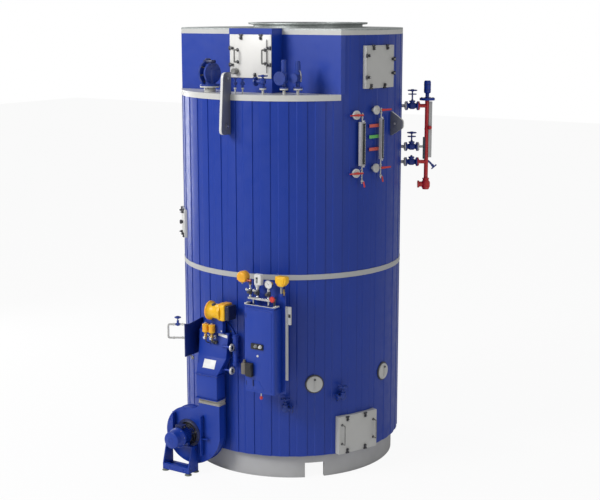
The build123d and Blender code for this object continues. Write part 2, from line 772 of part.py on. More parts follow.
# Stand: a floor frame on feet, slanted side plates and a cradle under the motor
stand_left = fan_x - 218.0
stand_right = fan_x + 120.0
stand_depth = 160.0
foot_height = 18.0
foot_r = 17.0
beam = 38.0
front_beam_high = 62.0
plate_thick = 12.0
table_z = fan_z - motor_r - 16.0
stand_back = fan_front
stand_front = stand_back - stand_depth
beam_top = foot_height + front_beam_high
stand = block(stand_left, stand_right, stand_front, stand_front + beam, foot_height, beam_top)
stand += block(stand_left, stand_right, stand_back - beam, stand_back, foot_height, foot_height + beam)
for left in (stand_left, stand_right - plate_thick):
    side = Face(Wire.make_polygon([
        (left, stand_front, foot_height), (left, stand_back, foot_height), (left, stand_back, table_z),
        (left, stand_front + 60, table_z), (left, stand_front, beam_top),
    ], close=True))
    stand += extrude(side, amount=plate_thick, dir=(1, 0, 0))
stand += block(stand_left, stand_right, stand_front + 60, stand_back - guard_out - 6, table_z - 12, table_z)
for x in (stand_left + 22, stand_right - 22):
    for y in (stand_front + beam / 2, stand_back - beam / 2):
        stand += turned(upright(x, y, 0), [(0, 0), (foot_r, 0), (foot_r, 6), (8, 10), (8, foot_height), (0, foot_height)])
cradle = block(fan_x - 62, fan_x + 62, stand_front + 70, stand_back - 60, table_z, fan_z - 40)
stand += cradle
stand -= rod((fan_x, motor_front - 5, fan_z), (fan_x, fan_front, fan_z), motor_r + fit_gap)
save(stand, "fan_stand")

# Air path: flexible joint, duct and the burner's hood
air_clear = 38.0
air_depth = 142.0
air_back = -(shell_r + air_clear)
air_front = air_back - air_depth
flex_height = 64.0
flex_clamp = 12.0
flex_top = outlet_top + flex_height
duct_height = 268.0
duct_top = flex_top + duct_height
duct_lip = 15.0
lip_thick = 12.0
flex_back = fan_back
joint_front = max(air_front, fan_front)


def slab(left, right, front, back, low, high, grow):
    return block(left - grow, right + grow, front - grow, back + grow, low, high)


flex = slab(air_left, air_right, joint_front, air_back, outlet_top, flex_top, 0)
flex += slab(air_left, air_right, joint_front, air_back, outlet_top, outlet_top + flex_clamp, 5)
flex += slab(air_left, air_right, joint_front, air_back, flex_top - flex_clamp, flex_top, 5)
save(flex, "flexible_joint")
hood_rise = 230.0
head_height = 195.0
hood_wide = 30.0
hood_wide_right = 70.0
head_lean = 55.0
head_step = 60.0
head_left = air_left - hood_wide
head_right = air_right + hood_wide_right
head_low = duct_top + hood_rise
head_top = head_low + head_height
head_clear = 15.0
head_back = -(shell_r + head_clear)
head_front = air_front + head_step
head_top_front = head_front + head_lean


def loop_at(level, left, right, front, back):
    corners = [(left, front, level), (right, front, level), (right, back, level), (left, back, level)]
    return Face(Wire.make_polygon(corners, close=True))


casing = slab(air_left, air_right, air_front, air_back, flex_top, duct_top, 0)
casing += slab(air_left, air_right, air_front, air_back, flex_top, flex_top + lip_thick, duct_lip)
casing += slab(air_left, air_right, air_front, air_back, duct_top - lip_thick, duct_top, duct_lip)
casing += loft([
    loop_at(duct_top, air_left, air_right, air_front, air_back),
    loop_at(head_low, head_left, head_right, head_front, head_back),
])
casing += loft([
    loop_at(head_low, head_left, head_right, head_front, head_back),
    loop_at(head_top, head_left, head_right, head_top_front, head_back),
])
sight_r = 22.0
sight_neck_r = 12.0
sight_cap = 24.0
sight_y = air_back - 60.0
sight_end = air_right + 143.0
for rise in (57.0, 297.0):
    level = duct_top + rise
    casing += rod((air_right - 40, sight_y, level), (sight_end, sight_y, level), sight_neck_r)
    casing += rod((sight_end - sight_cap, sight_y, level), (sight_end, sight_y, level), sight_r)
save(casing, "burner_casing")

# Register: the round mouthpiece between the hood and the cladding
register_r = 175.0
register_flange_r = 232.0
burner_x = (head_left + head_right) / 2
burner_z = head_low + 95.0
register = turned(lying(burner_x, -shell_r + 120, burner_z, (0, -1)), [
    (0, 0), (register_r, 0), (register_r, 120 + head_clear - 14), (register_flange_r, 120 + head_clear - 12),
    (register_flange_r, 120 + head_clear), (0, 120 + head_clear),
])
register = register - disc(shell_r, burner_z - 400, burner_z + 400)
save(register, "burner_register")

# Damper actuator on a saddle on the head, and two solenoids with pipes into the hood
actuator_z = head_top + 230.0
actuator_r = 64.0
actuator_plate_r = 97.0
actuator_length = 236.0
actuator_left = head_left + 98.0
actuator_y = head_top_front - 48.0
actuator_box = 152.0
actuator_end = actuator_left + actuator_length
actuator = turned(lying(actuator_left, actuator_y, actuator_z, (1, 0)), [
    (0, 0), (actuator_plate_r - 8, 0), (actuator_plate_r, 6), (actuator_plate_r, 26), (actuator_r, 66),
    (actuator_r, 140), (actuator_plate_r - 6, 196), (actuator_plate_r - 6, actuator_length),
    (0, actuator_length),
])
actuator += block(
    actuator_end, actuator_end + actuator_box, actuator_y - 70, actuator_y + 60,
    actuator_z - 70, actuator_z + 88,
)
actuator += block(
    actuator_left + 26, actuator_end - 20, actuator_y + 8, actuator_y + 68,
    head_top, actuator_z - 40,
)
actuators = [actuator]
solenoid_size = 62.0
solenoid_height = 100.0
solenoid_front = head_top_front - 103.0
solenoid_low = head_top - 5.0
solenoid_y = solenoid_front + solenoid_size / 2
for left in (head_left + 86.0, head_left + 164.0):
    solenoid = block(
        left, left + solenoid_size, solenoid_front, solenoid_front + solenoid_size,
        solenoid_low, solenoid_low + solenoid_height,
    )
    middle = left + solenoid_size / 2
    solenoid += disc(19, solenoid_low - 26, solenoid_low, middle, solenoid_y)
    solenoid += disc(12, solenoid_low - 62, solenoid_low - 26, middle, solenoid_y)
    pipe_z = solenoid_low - 46
    solenoid += rod((middle, solenoid_y, pipe_z), (middle, head_front + 80, pipe_z), 11)
    actuators.append(solenoid - casing - actuator)
save(group(actuators), "burner_actuators")

# Upright plate beside the head, with a pipe loop and its small valve
plate_gap = 68.0
side_plate_thick = 12.0
plate_height = 387.0
plate_out = 43.0
plate_right = head_left - plate_gap
plate_left = plate_right - side_plate_thick
plate_front = air_front - plate_out
plate_low = duct_top + 156.0
plate_high = plate_low + plate_height
plate_zone = block(plate_left, plate_right, plate_front, -shell_r * 0.8, plate_low, plate_high)
fold = block(plate_left - 30, plate_right, plate_front, plate_front + 8, plate_low, plate_high)
side_plate = (plate_zone + fold) - cladding_cut
save(side_plate, "side_plate")
loop_r = 9.0
loop_high = plate_high - 51.0
loop_low = loop_high - 140.0
loop_reach = 140.0
loop_bearing = 237.4
loop_start = (plate_left - 30, plate_front + 4)
loop_dir = (-cos(radians(32.6)), -sin(radians(32.6)))
loop_end = (loop_start[0] + loop_reach * loop_dir[0], loop_start[1] + loop_reach * loop_dir[1])
pipe_loop = rod((loop_start[0], loop_start[1], loop_high), (loop_end[0], loop_end[1], loop_high), loop_r)
pipe_loop += rod((loop_start[0], loop_start[1], loop_low), (loop_end[0], loop_end[1], loop_low), loop_r)
pipe_loop += rod((loop_end[0], loop_end[1], loop_low), (loop_end[0], loop_end[1], loop_high), loop_r)
for level in (loop_low, loop_high):
    pipe_loop += Pos(loop_end[0], loop_end[1], level) * Sphere(loop_r)
stem_x = loop_start[0] + 42 * loop_dir[0]
stem_y = loop_start[1] + 42 * loop_dir[1]
oil_wheel_low = loop_high + 60.0
oil_wheel_r = 34.0
pipe_loop += turned(upright(stem_x, stem_y, 0), [
    (0, loop_high - 16), (15, loop_high - 16), (15, loop_high + 22), (stem_r, loop_high + 26),
    (stem_r, oil_wheel_low + stem_in_hub), (0, oil_wheel_low + stem_in_hub),
])
save(pipe_loop - side_plate, "oil_loop")
save(handwheel(stem_x, stem_y, oil_wheel_low, oil_wheel_r), "oil_handwheel")

# Control cabinet on a back plate, carried by brackets from the cladding
cab_clear = 60.0
back_thick = 12.0
cab_depth = 128.0
cab_left = 308.0
cab_width = 358.0
cab_low = 1000.0
cab_height = 850.0
cab_corner = 26.0
plate_side = 46.0
plate_rise = 245.0
tray_wall = 4.0
tray_height = 26.0
tray_out = 16.0
cab_right = cab_left + cab_width
cab_high = cab_low + cab_height
plate_y = -(shell_r + cab_clear)
cab_back = plate_y - back_thick
cab_front = cab_back - cab_depth
box = block(cab_left, cab_right, cab_front, cab_back, cab_low, cab_high)
box = fillet(box.edges().filter_by(Axis.Z).group_by(Axis.Y)[0], cab_corner)
cabinet = box + block(cab_left + plate_side, cab_right + plate_side, cab_back, plate_y, cab_low - 10, cab_high + plate_rise)
tray = block(cab_left + 8, cab_right - 8, cab_front + 8, cab_back, cab_high, cab_high + tray_height)
tray -= block(
    cab_left + 8 + tray_wall, cab_right - 8 - tray_wall, cab_front + 8 + tray_wall, cab_back - tray_wall,
    cab_high + tray_wall, cab_high + tray_height,
)
cabinet += tray
arm_height = 60.0
arm_thick = 10.0
for low in (cab_low + 120, cab_high - 150):
    for left in (cab_left + plate_side + 10, cab_right - 120):
        arm = block(left, left + arm_thick, plate_y, -shell_r * 0.6, low, low + arm_height)
        cabinet += arm - cladding_cut
save(cabinet, "control_cabinet")
strip_width = 24.0
strip_depth = 16.0
strip_box = 38.0
strip_left = cab_right + plate_side
strip_right = strip_left + strip_width
strip = block(strip_left, strip_right, cab_back, cab_back + strip_depth, cab_low + 133, cab_high + 25)
strip += block(
    strip_right, strip_right + strip_box, cab_back, cab_back + strip_depth, cab_high - 152, cab_high + 25,
)
save(strip, "cable_strip")

# Manifold over the cabinet with three stems for the instruments
pipe_y = cab_front + 50.0
manifold_low = cab_high + 73.0
manifold_thick = 22.0
manifold_half = 12.0
manifold_top = manifold_low + manifold_thick
stem_spots = [cab_left + 47.0, cab_left + 132.0, cab_left + 262.0]
stem_rises = [135.0, 96.0, 96.0]
manifold_end = stem_spots[2] + 24.0
manifold = block(
    cab_left + 22, manifold_end, pipe_y - manifold_half, pipe_y + manifold_half, manifold_low, manifold_top,
)
for x in (cab_left + 78, stem_spots[2] - 8):
    manifold += block(x, x + 16, pipe_y - 8, pipe_y + 8, cab_high + tray_wall, manifold_low)
for x, rise in zip(stem_spots, stem_rises):
    manifold += turned(upright(x, pipe_y, manifold_top), [
        (0, 0), (9, 0), (9, 28), (22, 34), (22, 72), (9, 78), (9, rise), (0, rise),
    ])
    manifold += rod((x, pipe_y - 40, manifold_top + 53), (x, pipe_y, manifold_top + 53), 8)

# Drain valve with a round knob at the manifold's right end
knob_x = manifold_end + 42.0
knob_z = manifold_low + 34.0
manifold += rod((manifold_end, pipe_y, manifold_low + 11), (knob_x, pipe_y, manifold_low + 11), 8)
manifold += rod((knob_x, pipe_y, cab_high + tray_wall), (knob_x, pipe_y, knob_z + 12), 10)
manifold += turned(lying(knob_x, pipe_y, knob_z, (0, -1)), [
    (0, 0), (9, 0), (9, 22), (20, 24), (26, 30), (26, 44), (20, 50), (0, 50),
])
save(manifold, "instrument_manifold")

# Pressure switches, transmitter and dial on the stems
seats = [manifold_top + rise for rise in stem_rises]
switch_r = 56.0
switch_depth = 88.0
switch_x = stem_spots[0] - 85.0
switch_z = seats[0] + switch_r
orange = turned(lying(switch_x, pipe_y + switch_depth / 2, switch_z, (0, -1)), [
    (0, 0), (switch_r - 6, 0), (switch_r, 8), (switch_r, switch_depth - 16),
    (switch_r - 12, switch_depth), (0, switch_depth),
])
orange += rod((switch_x, pipe_y, seats[0] + 24), (stem_spots[0] + 9, pipe_y, seats[0] + 24), 12)
orange += disc(9, seats[0], seats[0] + 24, stem_spots[0], pipe_y)
white_x = stem_spots[1]
white_width = 79.0
white_depth = 53.0
white_height = 106.0
white_neck = 34.0
head_x = white_x + 10.0
white_low = seats[1] + white_neck
transmitter = Pos(head_x, pipe_y, white_low + white_height / 2) * Box(white_width, white_depth, white_height)
transmitter = fillet(transmitter.edges().filter_by(Axis.Z), 9)
transmitter += turned(upright(white_x, pipe_y, seats[1]), [
    (0, 0), (12, 0), (24, white_neck), (0, white_neck),
])
dial_x = stem_spots[2]
dial_r = 43.0
dial = turned(lying(dial_x, pipe_y + 16, seats[2] + dial_r + 10, (0, -1)), [
    (0, 0), (dial_r, 0), (dial_r, 34), (dial_r - 5, 36), (dial_r - 5, 32), (0, 32),
])
dial += disc(9, seats[2], seats[2] + 30, dial_x, pipe_y)
yellow_width = 120.0
yellow_depth = 72.0
yellow_height = 96.0
yellow_low = seats[0] + 2.0
yellow_x = cab_right + 30.0
yellow_y = cab_back - 36.0
yellow = Pos(yellow_x, yellow_y, yellow_low + yellow_height / 2) * Box(yellow_width, yellow_depth, yellow_height)
yellow = chamfer(yellow.edges().filter_by(Axis.Y).group_by(Axis.Z)[0], 34)
yellow = fillet(yellow.edges().filter_by(Axis.Y), 12)
post_x = cab_right + plate_side - 22
yellow += disc(10, seats[0] - 75, yellow_low + 40, post_x, yellow_y)
yellow += block(post_x - 14, post_x + 14, yellow_y - 14, cab_back, seats[0] - 100, seats[0] - 72)
save(group([orange, yellow, transmitter, dial]), "instruments")
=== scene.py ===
from math import cos, pi, radians, sin, tan

import bmesh
import bpy
from mathutils import Matrix, Vector


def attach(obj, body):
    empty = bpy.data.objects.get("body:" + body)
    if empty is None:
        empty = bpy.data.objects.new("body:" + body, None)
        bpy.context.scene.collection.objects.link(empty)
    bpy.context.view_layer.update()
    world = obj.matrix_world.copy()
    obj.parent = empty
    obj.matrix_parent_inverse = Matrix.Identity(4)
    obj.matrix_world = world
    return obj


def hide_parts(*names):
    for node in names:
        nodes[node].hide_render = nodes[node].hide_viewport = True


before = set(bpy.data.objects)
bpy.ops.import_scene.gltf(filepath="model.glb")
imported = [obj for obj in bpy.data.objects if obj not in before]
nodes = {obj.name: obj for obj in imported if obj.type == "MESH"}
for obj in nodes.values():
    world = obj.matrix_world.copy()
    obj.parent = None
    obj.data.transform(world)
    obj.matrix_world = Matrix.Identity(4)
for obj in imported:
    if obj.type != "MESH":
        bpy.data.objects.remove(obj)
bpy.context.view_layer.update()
scene = bpy.context.scene


# The photo was taken from this bearing
viewBearing = 32.6


# Places, in metres. A bearing counts round the axis from -Y towards +X
def at(bearing, radius, height):
    angle = radians(bearing)
    return Vector((radius * sin(angle), -radius * cos(angle), height))


def plane(origin, right, out):
    right = Vector(right).normalized()
    out = Vector(out).normalized()
    up = out.cross(right)
    matrix = Matrix((right, up, out)).transposed().to_4x4()
    matrix.translation = Vector(origin)
    return matrix


def rightOf(bearing):
    return Vector((cos(radians(bearing)), sin(radians(bearing)), 0))


def facing(bearing, radius, height):
    return plane(at(bearing, radius, height), rightOf(bearing), at(bearing, 1, 0))


def frontPlane(x, y, z):
    return plane((x, y, z), (1, 0, 0), (0, -1, 0))


def upPlane(x, y, z):
    return plane((x, y, z), (1, 0, 0), (0, 0, 1))


def along(start, end):
    out = (Vector(end) - Vector(start)).normalized()
    side = Vector((0, 0, 1)) if abs(out.z) < 0.9 else Vector((1, 0, 0))
    return plane(start, side.cross(out), out)


# Turned profiles: a rod closed at its end, and a square band round a hole
def rod(radius, high, low=0):
    return [(radius, low), (radius, high), (0, high)]


def band(inner, outer, low, high):
    return [(inner, low), (outer, low), (outer, high), (inner, high)]


# Materials
def newMaterial(name):
    material = bpy.data.materials.new(name)
    material.use_nodes = True
    tree = material.node_tree
    return material, tree, tree.nodes["Principled BSDF"]


def noise(tree, scale, stretch=(1, 1, 1), detail=4, offset=0.0):
    coords = tree.nodes.new("ShaderNodeTexCoord")
    mapping = tree.nodes.new("ShaderNodeMapping")
    mapping.inputs["Scale"].default_value = stretch
    mapping.inputs["Location"].default_value = (offset, offset, offset)
    tree.links.new(coords.outputs["Object"], mapping.inputs["Vector"])
    texture = tree.nodes.new("ShaderNodeTexNoise")
    texture.inputs["Scale"].default_value = scale
    texture.inputs["Detail"].default_value = detail
    tree.links.new(mapping.outputs["Vector"], texture.inputs["Vector"])
    return texture.outputs["Fac"]


def spread(tree, value, low, high, fromLow=0.3, fromHigh=0.7):
    node = tree.nodes.new("ShaderNodeMapRange")
    node.inputs["From Min"].default_value = fromLow
    node.inputs["From Max"].default_value = fromHigh
    node.inputs["To Min"].default_value = low
    node.inputs["To Max"].default_value = high
    tree.links.new(value, node.inputs["Value"])
    return node.outputs["Result"]


def mixed(tree, factor, first, second):
    node = tree.nodes.new("ShaderNodeMix")
    node.data_type = "RGBA"
    if isinstance(factor, float):
        node.inputs[0].default_value = factor
    else:
        tree.links.new(factor, node.inputs[0])
    for socket, value in ((node.inputs[6], first), (node.inputs[7], second)):
        if isinstance(value, tuple):
            socket.default_value = (*value, 1)
        else:
            tree.links.new(value, socket)
    return node.outputs[2]


def bumped(tree, shader, height, strength, distance):
    node = tree.nodes.new("ShaderNodeBump")
    node.inputs["Strength"].default_value = strength
    node.inputs["Distance"].default_value = distance
    tree.links.new(height, node.inputs["Height"])
    tree.links.new(node.outputs["Normal"], shader.inputs["Normal"])


def scaled(colour, factor):
    return tuple(min(1.0, part * factor) for part in colour)


# Sprayed or coated metal: cloudy tone, vertical dust streaks, painted shade in corners, orange peel
def paint(name, colour, rough=0.38, coat=0.15, vary=0.10, cornerShade=0.35, peel=0.25, streak=0.5, metal=0.0):
    material, tree, shader = newMaterial(name)
    cloud = noise(tree, 2.3)
    base = mixed(tree, spread(tree, cloud, 0.0, 1.0), scaled(colour, 1 - vary), scaled(colour, 1 + vary))
    dust = noise(tree, 7.0, (3.0, 3.0, 0.18), 5, 3.1)
    pale = tuple(part * 0.6 + 0.25 for part in colour)
    base = mixed(tree, spread(tree, dust, 0.0, 0.10 * streak, 0.5, 0.8), base, pale)
    # painted shade: ambient occlusion darkens the colour in corners, creases and gaps between parts
    corner = tree.nodes.new("ShaderNodeAmbientOcclusion")
    corner.samples = 4
    corner.inputs["Distance"].default_value = 0.06
    cornerShadeMask = spread(tree, corner.outputs["AO"], cornerShade, 0.0, 0.25, 0.85)
    base = mixed(tree, cornerShadeMask, base, scaled(colour, 0.25))
    tree.links.new(base, shader.inputs["Base Color"])
    tree.links.new(spread(tree, noise(tree, 11.0, offset=7.7), rough - 0.06, rough + 0.08), shader.inputs["Roughness"])
    shader.inputs["Coat Weight"].default_value = coat
    shader.inputs["Coat Roughness"].default_value = 0.2
    shader.inputs["Metallic"].default_value = metal
    bumped(tree, shader, noise(tree, 420.0, detail=2), peel, 0.0004)
    return material


# Bare or zinc coated steel: spangle, brushed lines, dull spots
def steel(name, colour, rough=0.36, metal=0.85, spangle=60.0):
    material, tree, shader = newMaterial(name)
    coords = tree.nodes.new("ShaderNodeTexCoord")
    cells = tree.nodes.new("ShaderNodeTexVoronoi")
    cells.inputs["Scale"].default_value = spangle
    tree.links.new(coords.outputs["Object"], cells.inputs["Vector"])
    grey = tree.nodes.new("ShaderNodeRGBToBW")
    tree.links.new(cells.outputs["Color"], grey.inputs["Color"])
    base = mixed(tree, spread(tree, grey.outputs["Val"], 0.0, 1.0, 0.2, 0.8), scaled(colour, 0.86), scaled(colour, 1.1))
    base = mixed(tree, spread(tree, noise(tree, 5.0, offset=1.3), 0.0, 0.5, 0.5, 0.8), base, scaled(colour, 0.6))
    tree.links.new(base, shader.inputs["Base Color"])
    shader.inputs["Metallic"].default_value = metal
    tree.links.new(spread(tree, noise(tree, 30.0, (1, 1, 6)), rough - 0.08, rough + 0.12), shader.inputs["Roughness"])
    bumped(tree, shader, noise(tree, 260.0, (1, 1, 5), 3), 0.2, 0.0003)
    return material


# Coarse sand-cast surface under paint
def casting(name, colour, rough=0.42, metal=0.0):
    material, tree, shader = newMaterial(name)
    grain = noise(tree, 190.0, detail=6)
    base = mixed(tree, spread(tree, noise(tree, 9.0), 0.0, 1.0), scaled(colour, 0.8), scaled(colour, 1.2))
    base = mixed(tree, spread(tree, grain, 0.25, 0.0, 0.3, 0.5), base, scaled(colour, 0.5))
    tree.links.new(base, shader.inputs["Base Color"])
    shader.inputs["Metallic"].default_value = metal
    shader.inputs["Coat Weight"].default_value = 0.2
    tree.links.new(spread(tree, grain, rough - 0.08, rough + 0.12), shader.inputs["Roughness"])
    bumped(tree, shader, grain, 0.35, 0.0012)
    return material


# Moulded plastic or rubber with a fine grain
def plastic(name, colour, rough=0.4, grain=650.0, depth=0.2):
    material, tree, shader = newMaterial(name)
    base = mixed(tree, spread(tree, noise(tree, 18.0), 0.0, 1.0), scaled(colour, 0.92), scaled(colour, 1.06))
    tree.links.new(base, shader.inputs["Base Color"])
    tree.links.new(spread(tree, noise(tree, 40.0, offset=4.0), rough - 0.05, rough + 0.07), shader.inputs["Roughness"])
    bumped(tree, shader, noise(tree, grain, detail=2), depth, 0.0004)
    return material


# Coated woven fabric: two crossing thread directions
def cloth(name, colour):
    material, tree, shader = newMaterial(name)
    coords = tree.nodes.new("ShaderNodeTexCoord")
    waves = []
    for direction in ("X", "Y", "Z"):
        wave = tree.nodes.new("ShaderNodeTexWave")
        wave.bands_direction = direction
        wave.inputs["Scale"].default_value = 190.0
        wave.inputs["Distortion"].default_value = 0.6
        tree.links.new(coords.outputs["Object"], wave.inputs["Vector"])
        waves.append(wave.outputs["Fac"])
    weave = tree.nodes.new("ShaderNodeMath")
    weave.operation = "ADD"
    tree.links.new(waves[0], weave.inputs[0])
    tree.links.new(waves[2], weave.inputs[1])
    both = tree.nodes.new("ShaderNodeMath")
    both.operation = "ADD"
    tree.links.new(weave.outputs[0], both.inputs[0])
    tree.links.new(waves[1], both.inputs[1])
    base = mixed(tree, spread(tree, noise(tree, 14.0), 0.0, 1.0), scaled(colour, 0.86), scaled(colour, 1.1))
    base = mixed(tree, spread(tree, both.outputs[0], 0.25, 0.0, 0.6, 1.8), base, scaled(colour, 0.6))
    tree.links.new(base, shader.inputs["Base Color"])
    shader.inputs["Roughness"].default_value = 0.8
    shader.inputs["Sheen Weight"].default_value = 0.15
    bumped(tree, shader, both.outputs[0], 0.5, 0.0006)
    return material


blue = (0.003, 0.036, 0.330)
claddingBlue = paint("claddingBlue", blue, rough=0.38, coat=0.06, vary=0.03, cornerShade=0.3, streak=0.12)
boxBlue = paint("boxBlue", (0.004, 0.040, 0.355), rough=0.40, coat=0.06, vary=0.03, streak=0.12)
deviceBlue = paint("deviceBlue", (0.003, 0.038, 0.340), rough=0.38, coat=0.08, vary=0.04, cornerShade=0.45, streak=0.12)
valveBlue = casting("valveBlue", (0.005, 0.034, 0.270))
darkBlue = paint("darkBlue", (0.003, 0.012, 0.095), rough=0.42, coat=0.05, streak=0.1)
bandLight = paint("bandLight", (0.60, 0.60, 0.575), rough=0.4, coat=0.1, vary=0.03, cornerShade=0.4)
bandMid = paint("bandMid", (0.46, 0.465, 0.465), rough=0.42, coat=0.1, vary=0.05)
baseGrey = paint("baseGrey", (0.46, 0.46, 0.46), rough=0.5, coat=0.0, vary=0.07)
hatchGrey = paint("hatchGrey", (0.56, 0.56, 0.54), rough=0.45, coat=0.05, vary=0.05)
hatchWhite = paint("hatchWhite", (0.82, 0.81, 0.78), rough=0.42, coat=0.1, vary=0.03, cornerShade=0.5)
zinc = steel("zinc", (0.46, 0.49, 0.48), rough=0.42, metal=0.7)
brightSteel = steel("brightSteel", (0.66, 0.66, 0.67), rough=0.26, metal=1.0, spangle=20.0)
darkSteel = steel("darkSteel", (0.09, 0.09, 0.10), rough=0.45, metal=0.6)
brass = steel("brass", (0.62, 0.42, 0.16), rough=0.33, metal=1.0, spangle=15.0)
redGloss = paint("redGloss", (0.62, 0.010, 0.014), rough=0.28, coat=0.5, vary=0.06, cornerShade=0.5)
leverRed = plastic("leverRed", (0.62, 0.045, 0.035), rough=0.33)
orangePlastic = plastic("orangePlastic", (0.90, 0.42, 0.02), rough=0.38)
yellowPlastic = plastic("yellowPlastic", (0.92, 0.52, 0.012), rough=0.36)
whitePlastic = plastic("whitePlastic", (0.72, 0.72, 0.71), rough=0.34)
blackPlastic = plastic("blackPlastic", (0.018, 0.018, 0.02), rough=0.42)
greyPlastic = plastic("greyPlastic", (0.30, 0.31, 0.31), rough=0.45)
glassDark = plastic("glassDark", (0.022, 0.028, 0.030), rough=0.12, depth=0.02)
gaugePale = paint("gaugePale", (0.40, 0.395, 0.42), rough=0.32, coat=0.2, vary=0.05)
# painted highlight and painted shade: a light copy of the lugs' paint for their edges and a dark copy for their sides
lugEdgeHighlight = paint("lugEdgeHighlight", (0.72, 0.72, 0.71), rough=0.30, coat=0.2, vary=0.03, streak=0.1)
lugSideShade = paint("lugSideShade", (0.16, 0.17, 0.21), rough=0.34, coat=0.1, vary=0.05, metal=0.3, streak=0.2)
capGrey = steel("capGrey", (0.62, 0.62, 0.60), rough=0.38, metal=0.35, spangle=25.0)
handleGrey = steel("handleGrey", (0.26, 0.26, 0.25), rough=0.42, metal=0.4, spangle=25.0)
warmGrey = plastic("warmGrey", (0.16, 0.145, 0.125), rough=0.5)
copperRed = steel("copperRed", (0.36, 0.11, 0.07), rough=0.42, metal=0.7, spangle=20.0)
labelWhite = plastic("labelWhite", (0.88, 0.88, 0.87), rough=0.4)
# painted shade: the blue paint darkened to stand for the side plate's shaded face
shadedPlateBlue = paint("shadedPlateBlue", (0.002, 0.016, 0.150), rough=0.42, coat=0.04, vary=0.04, streak=0.1)
footGrey = plastic("footGrey", (0.20, 0.22, 0.18), rough=0.6)
slate = paint("slate", (0.035, 0.060, 0.085), rough=0.4, vary=0.05)
blackBlue = paint("blackBlue", (0.004, 0.009, 0.045), rough=0.42, vary=0.05)
tagRed = plastic("tagRed", (0.72, 0.13, 0.10), rough=0.4)
tagGreen = plastic("tagGreen", (0.17, 0.60, 0.15), rough=0.4)
clothBar = paint("clothBar", (0.40, 0.385, 0.35), rough=0.5, coat=0.0, vary=0.05)
beigeCloth = cloth("beigeCloth", (0.44, 0.415, 0.365))
# a dark seam line on the cabinet, and painted shade for the inside of the fan inlet
seamAndShadeNavy = paint("seamAndShadeNavy", (0.008, 0.018, 0.075), rough=0.6, coat=0.0)


def dress(material, *names):
    for name in names:
        mesh = nodes[name].data
        mesh.materials.clear()
        mesh.materials.append(material)


dress(baseGrey, "base_ring")
dress(bandMid, "mid_band", "cable_strip")
dress(bandLight, "ledge_deck", "top_band", "ledge_stubs", "level_scale")
dress(claddingBlue, "lower_cladding", "upper_cladding")
dress(boxBlue, "recess_plate", "smoke_box", "control_cabinet", "burner_casing", "side_plate")
dress(zinc, "roof_plate", "uptake_outlet")
dress(hatchWhite, "smoke_box_hatch")
dress(hatchGrey, "access_hatches", "level_nozzles")
dress(brightSteel, "instrument_manifold", "oil_loop")
dress(capGrey, "gauge_cocks")
dress(gaugePale, "gauge_bodies")
dress(lugSideShade, "lifting_lugs")
dress(valveBlue, "ledge_valves", "ledge_handwheel", "level_valves", "level_handwheel_top")
dress(valveBlue, "level_handwheel_middle", "blow_down_valves", "oil_handwheel")
dress(deviceBlue, "level_sensor", "fan_casing", "fan_motor", "fan_stand", "burner_register")
dress(redGloss, "standpipe")
dress(leverRed, "gauge_lever_left_top", "gauge_lever_left_bottom")
dress(leverRed, "gauge_lever_right_top", "gauge_lever_right_bottom", "level_signs")
dress(orangePlastic, "burner_actuators")
dress(yellowPlastic, "instruments")
dress(hatchGrey, "flexible_joint")


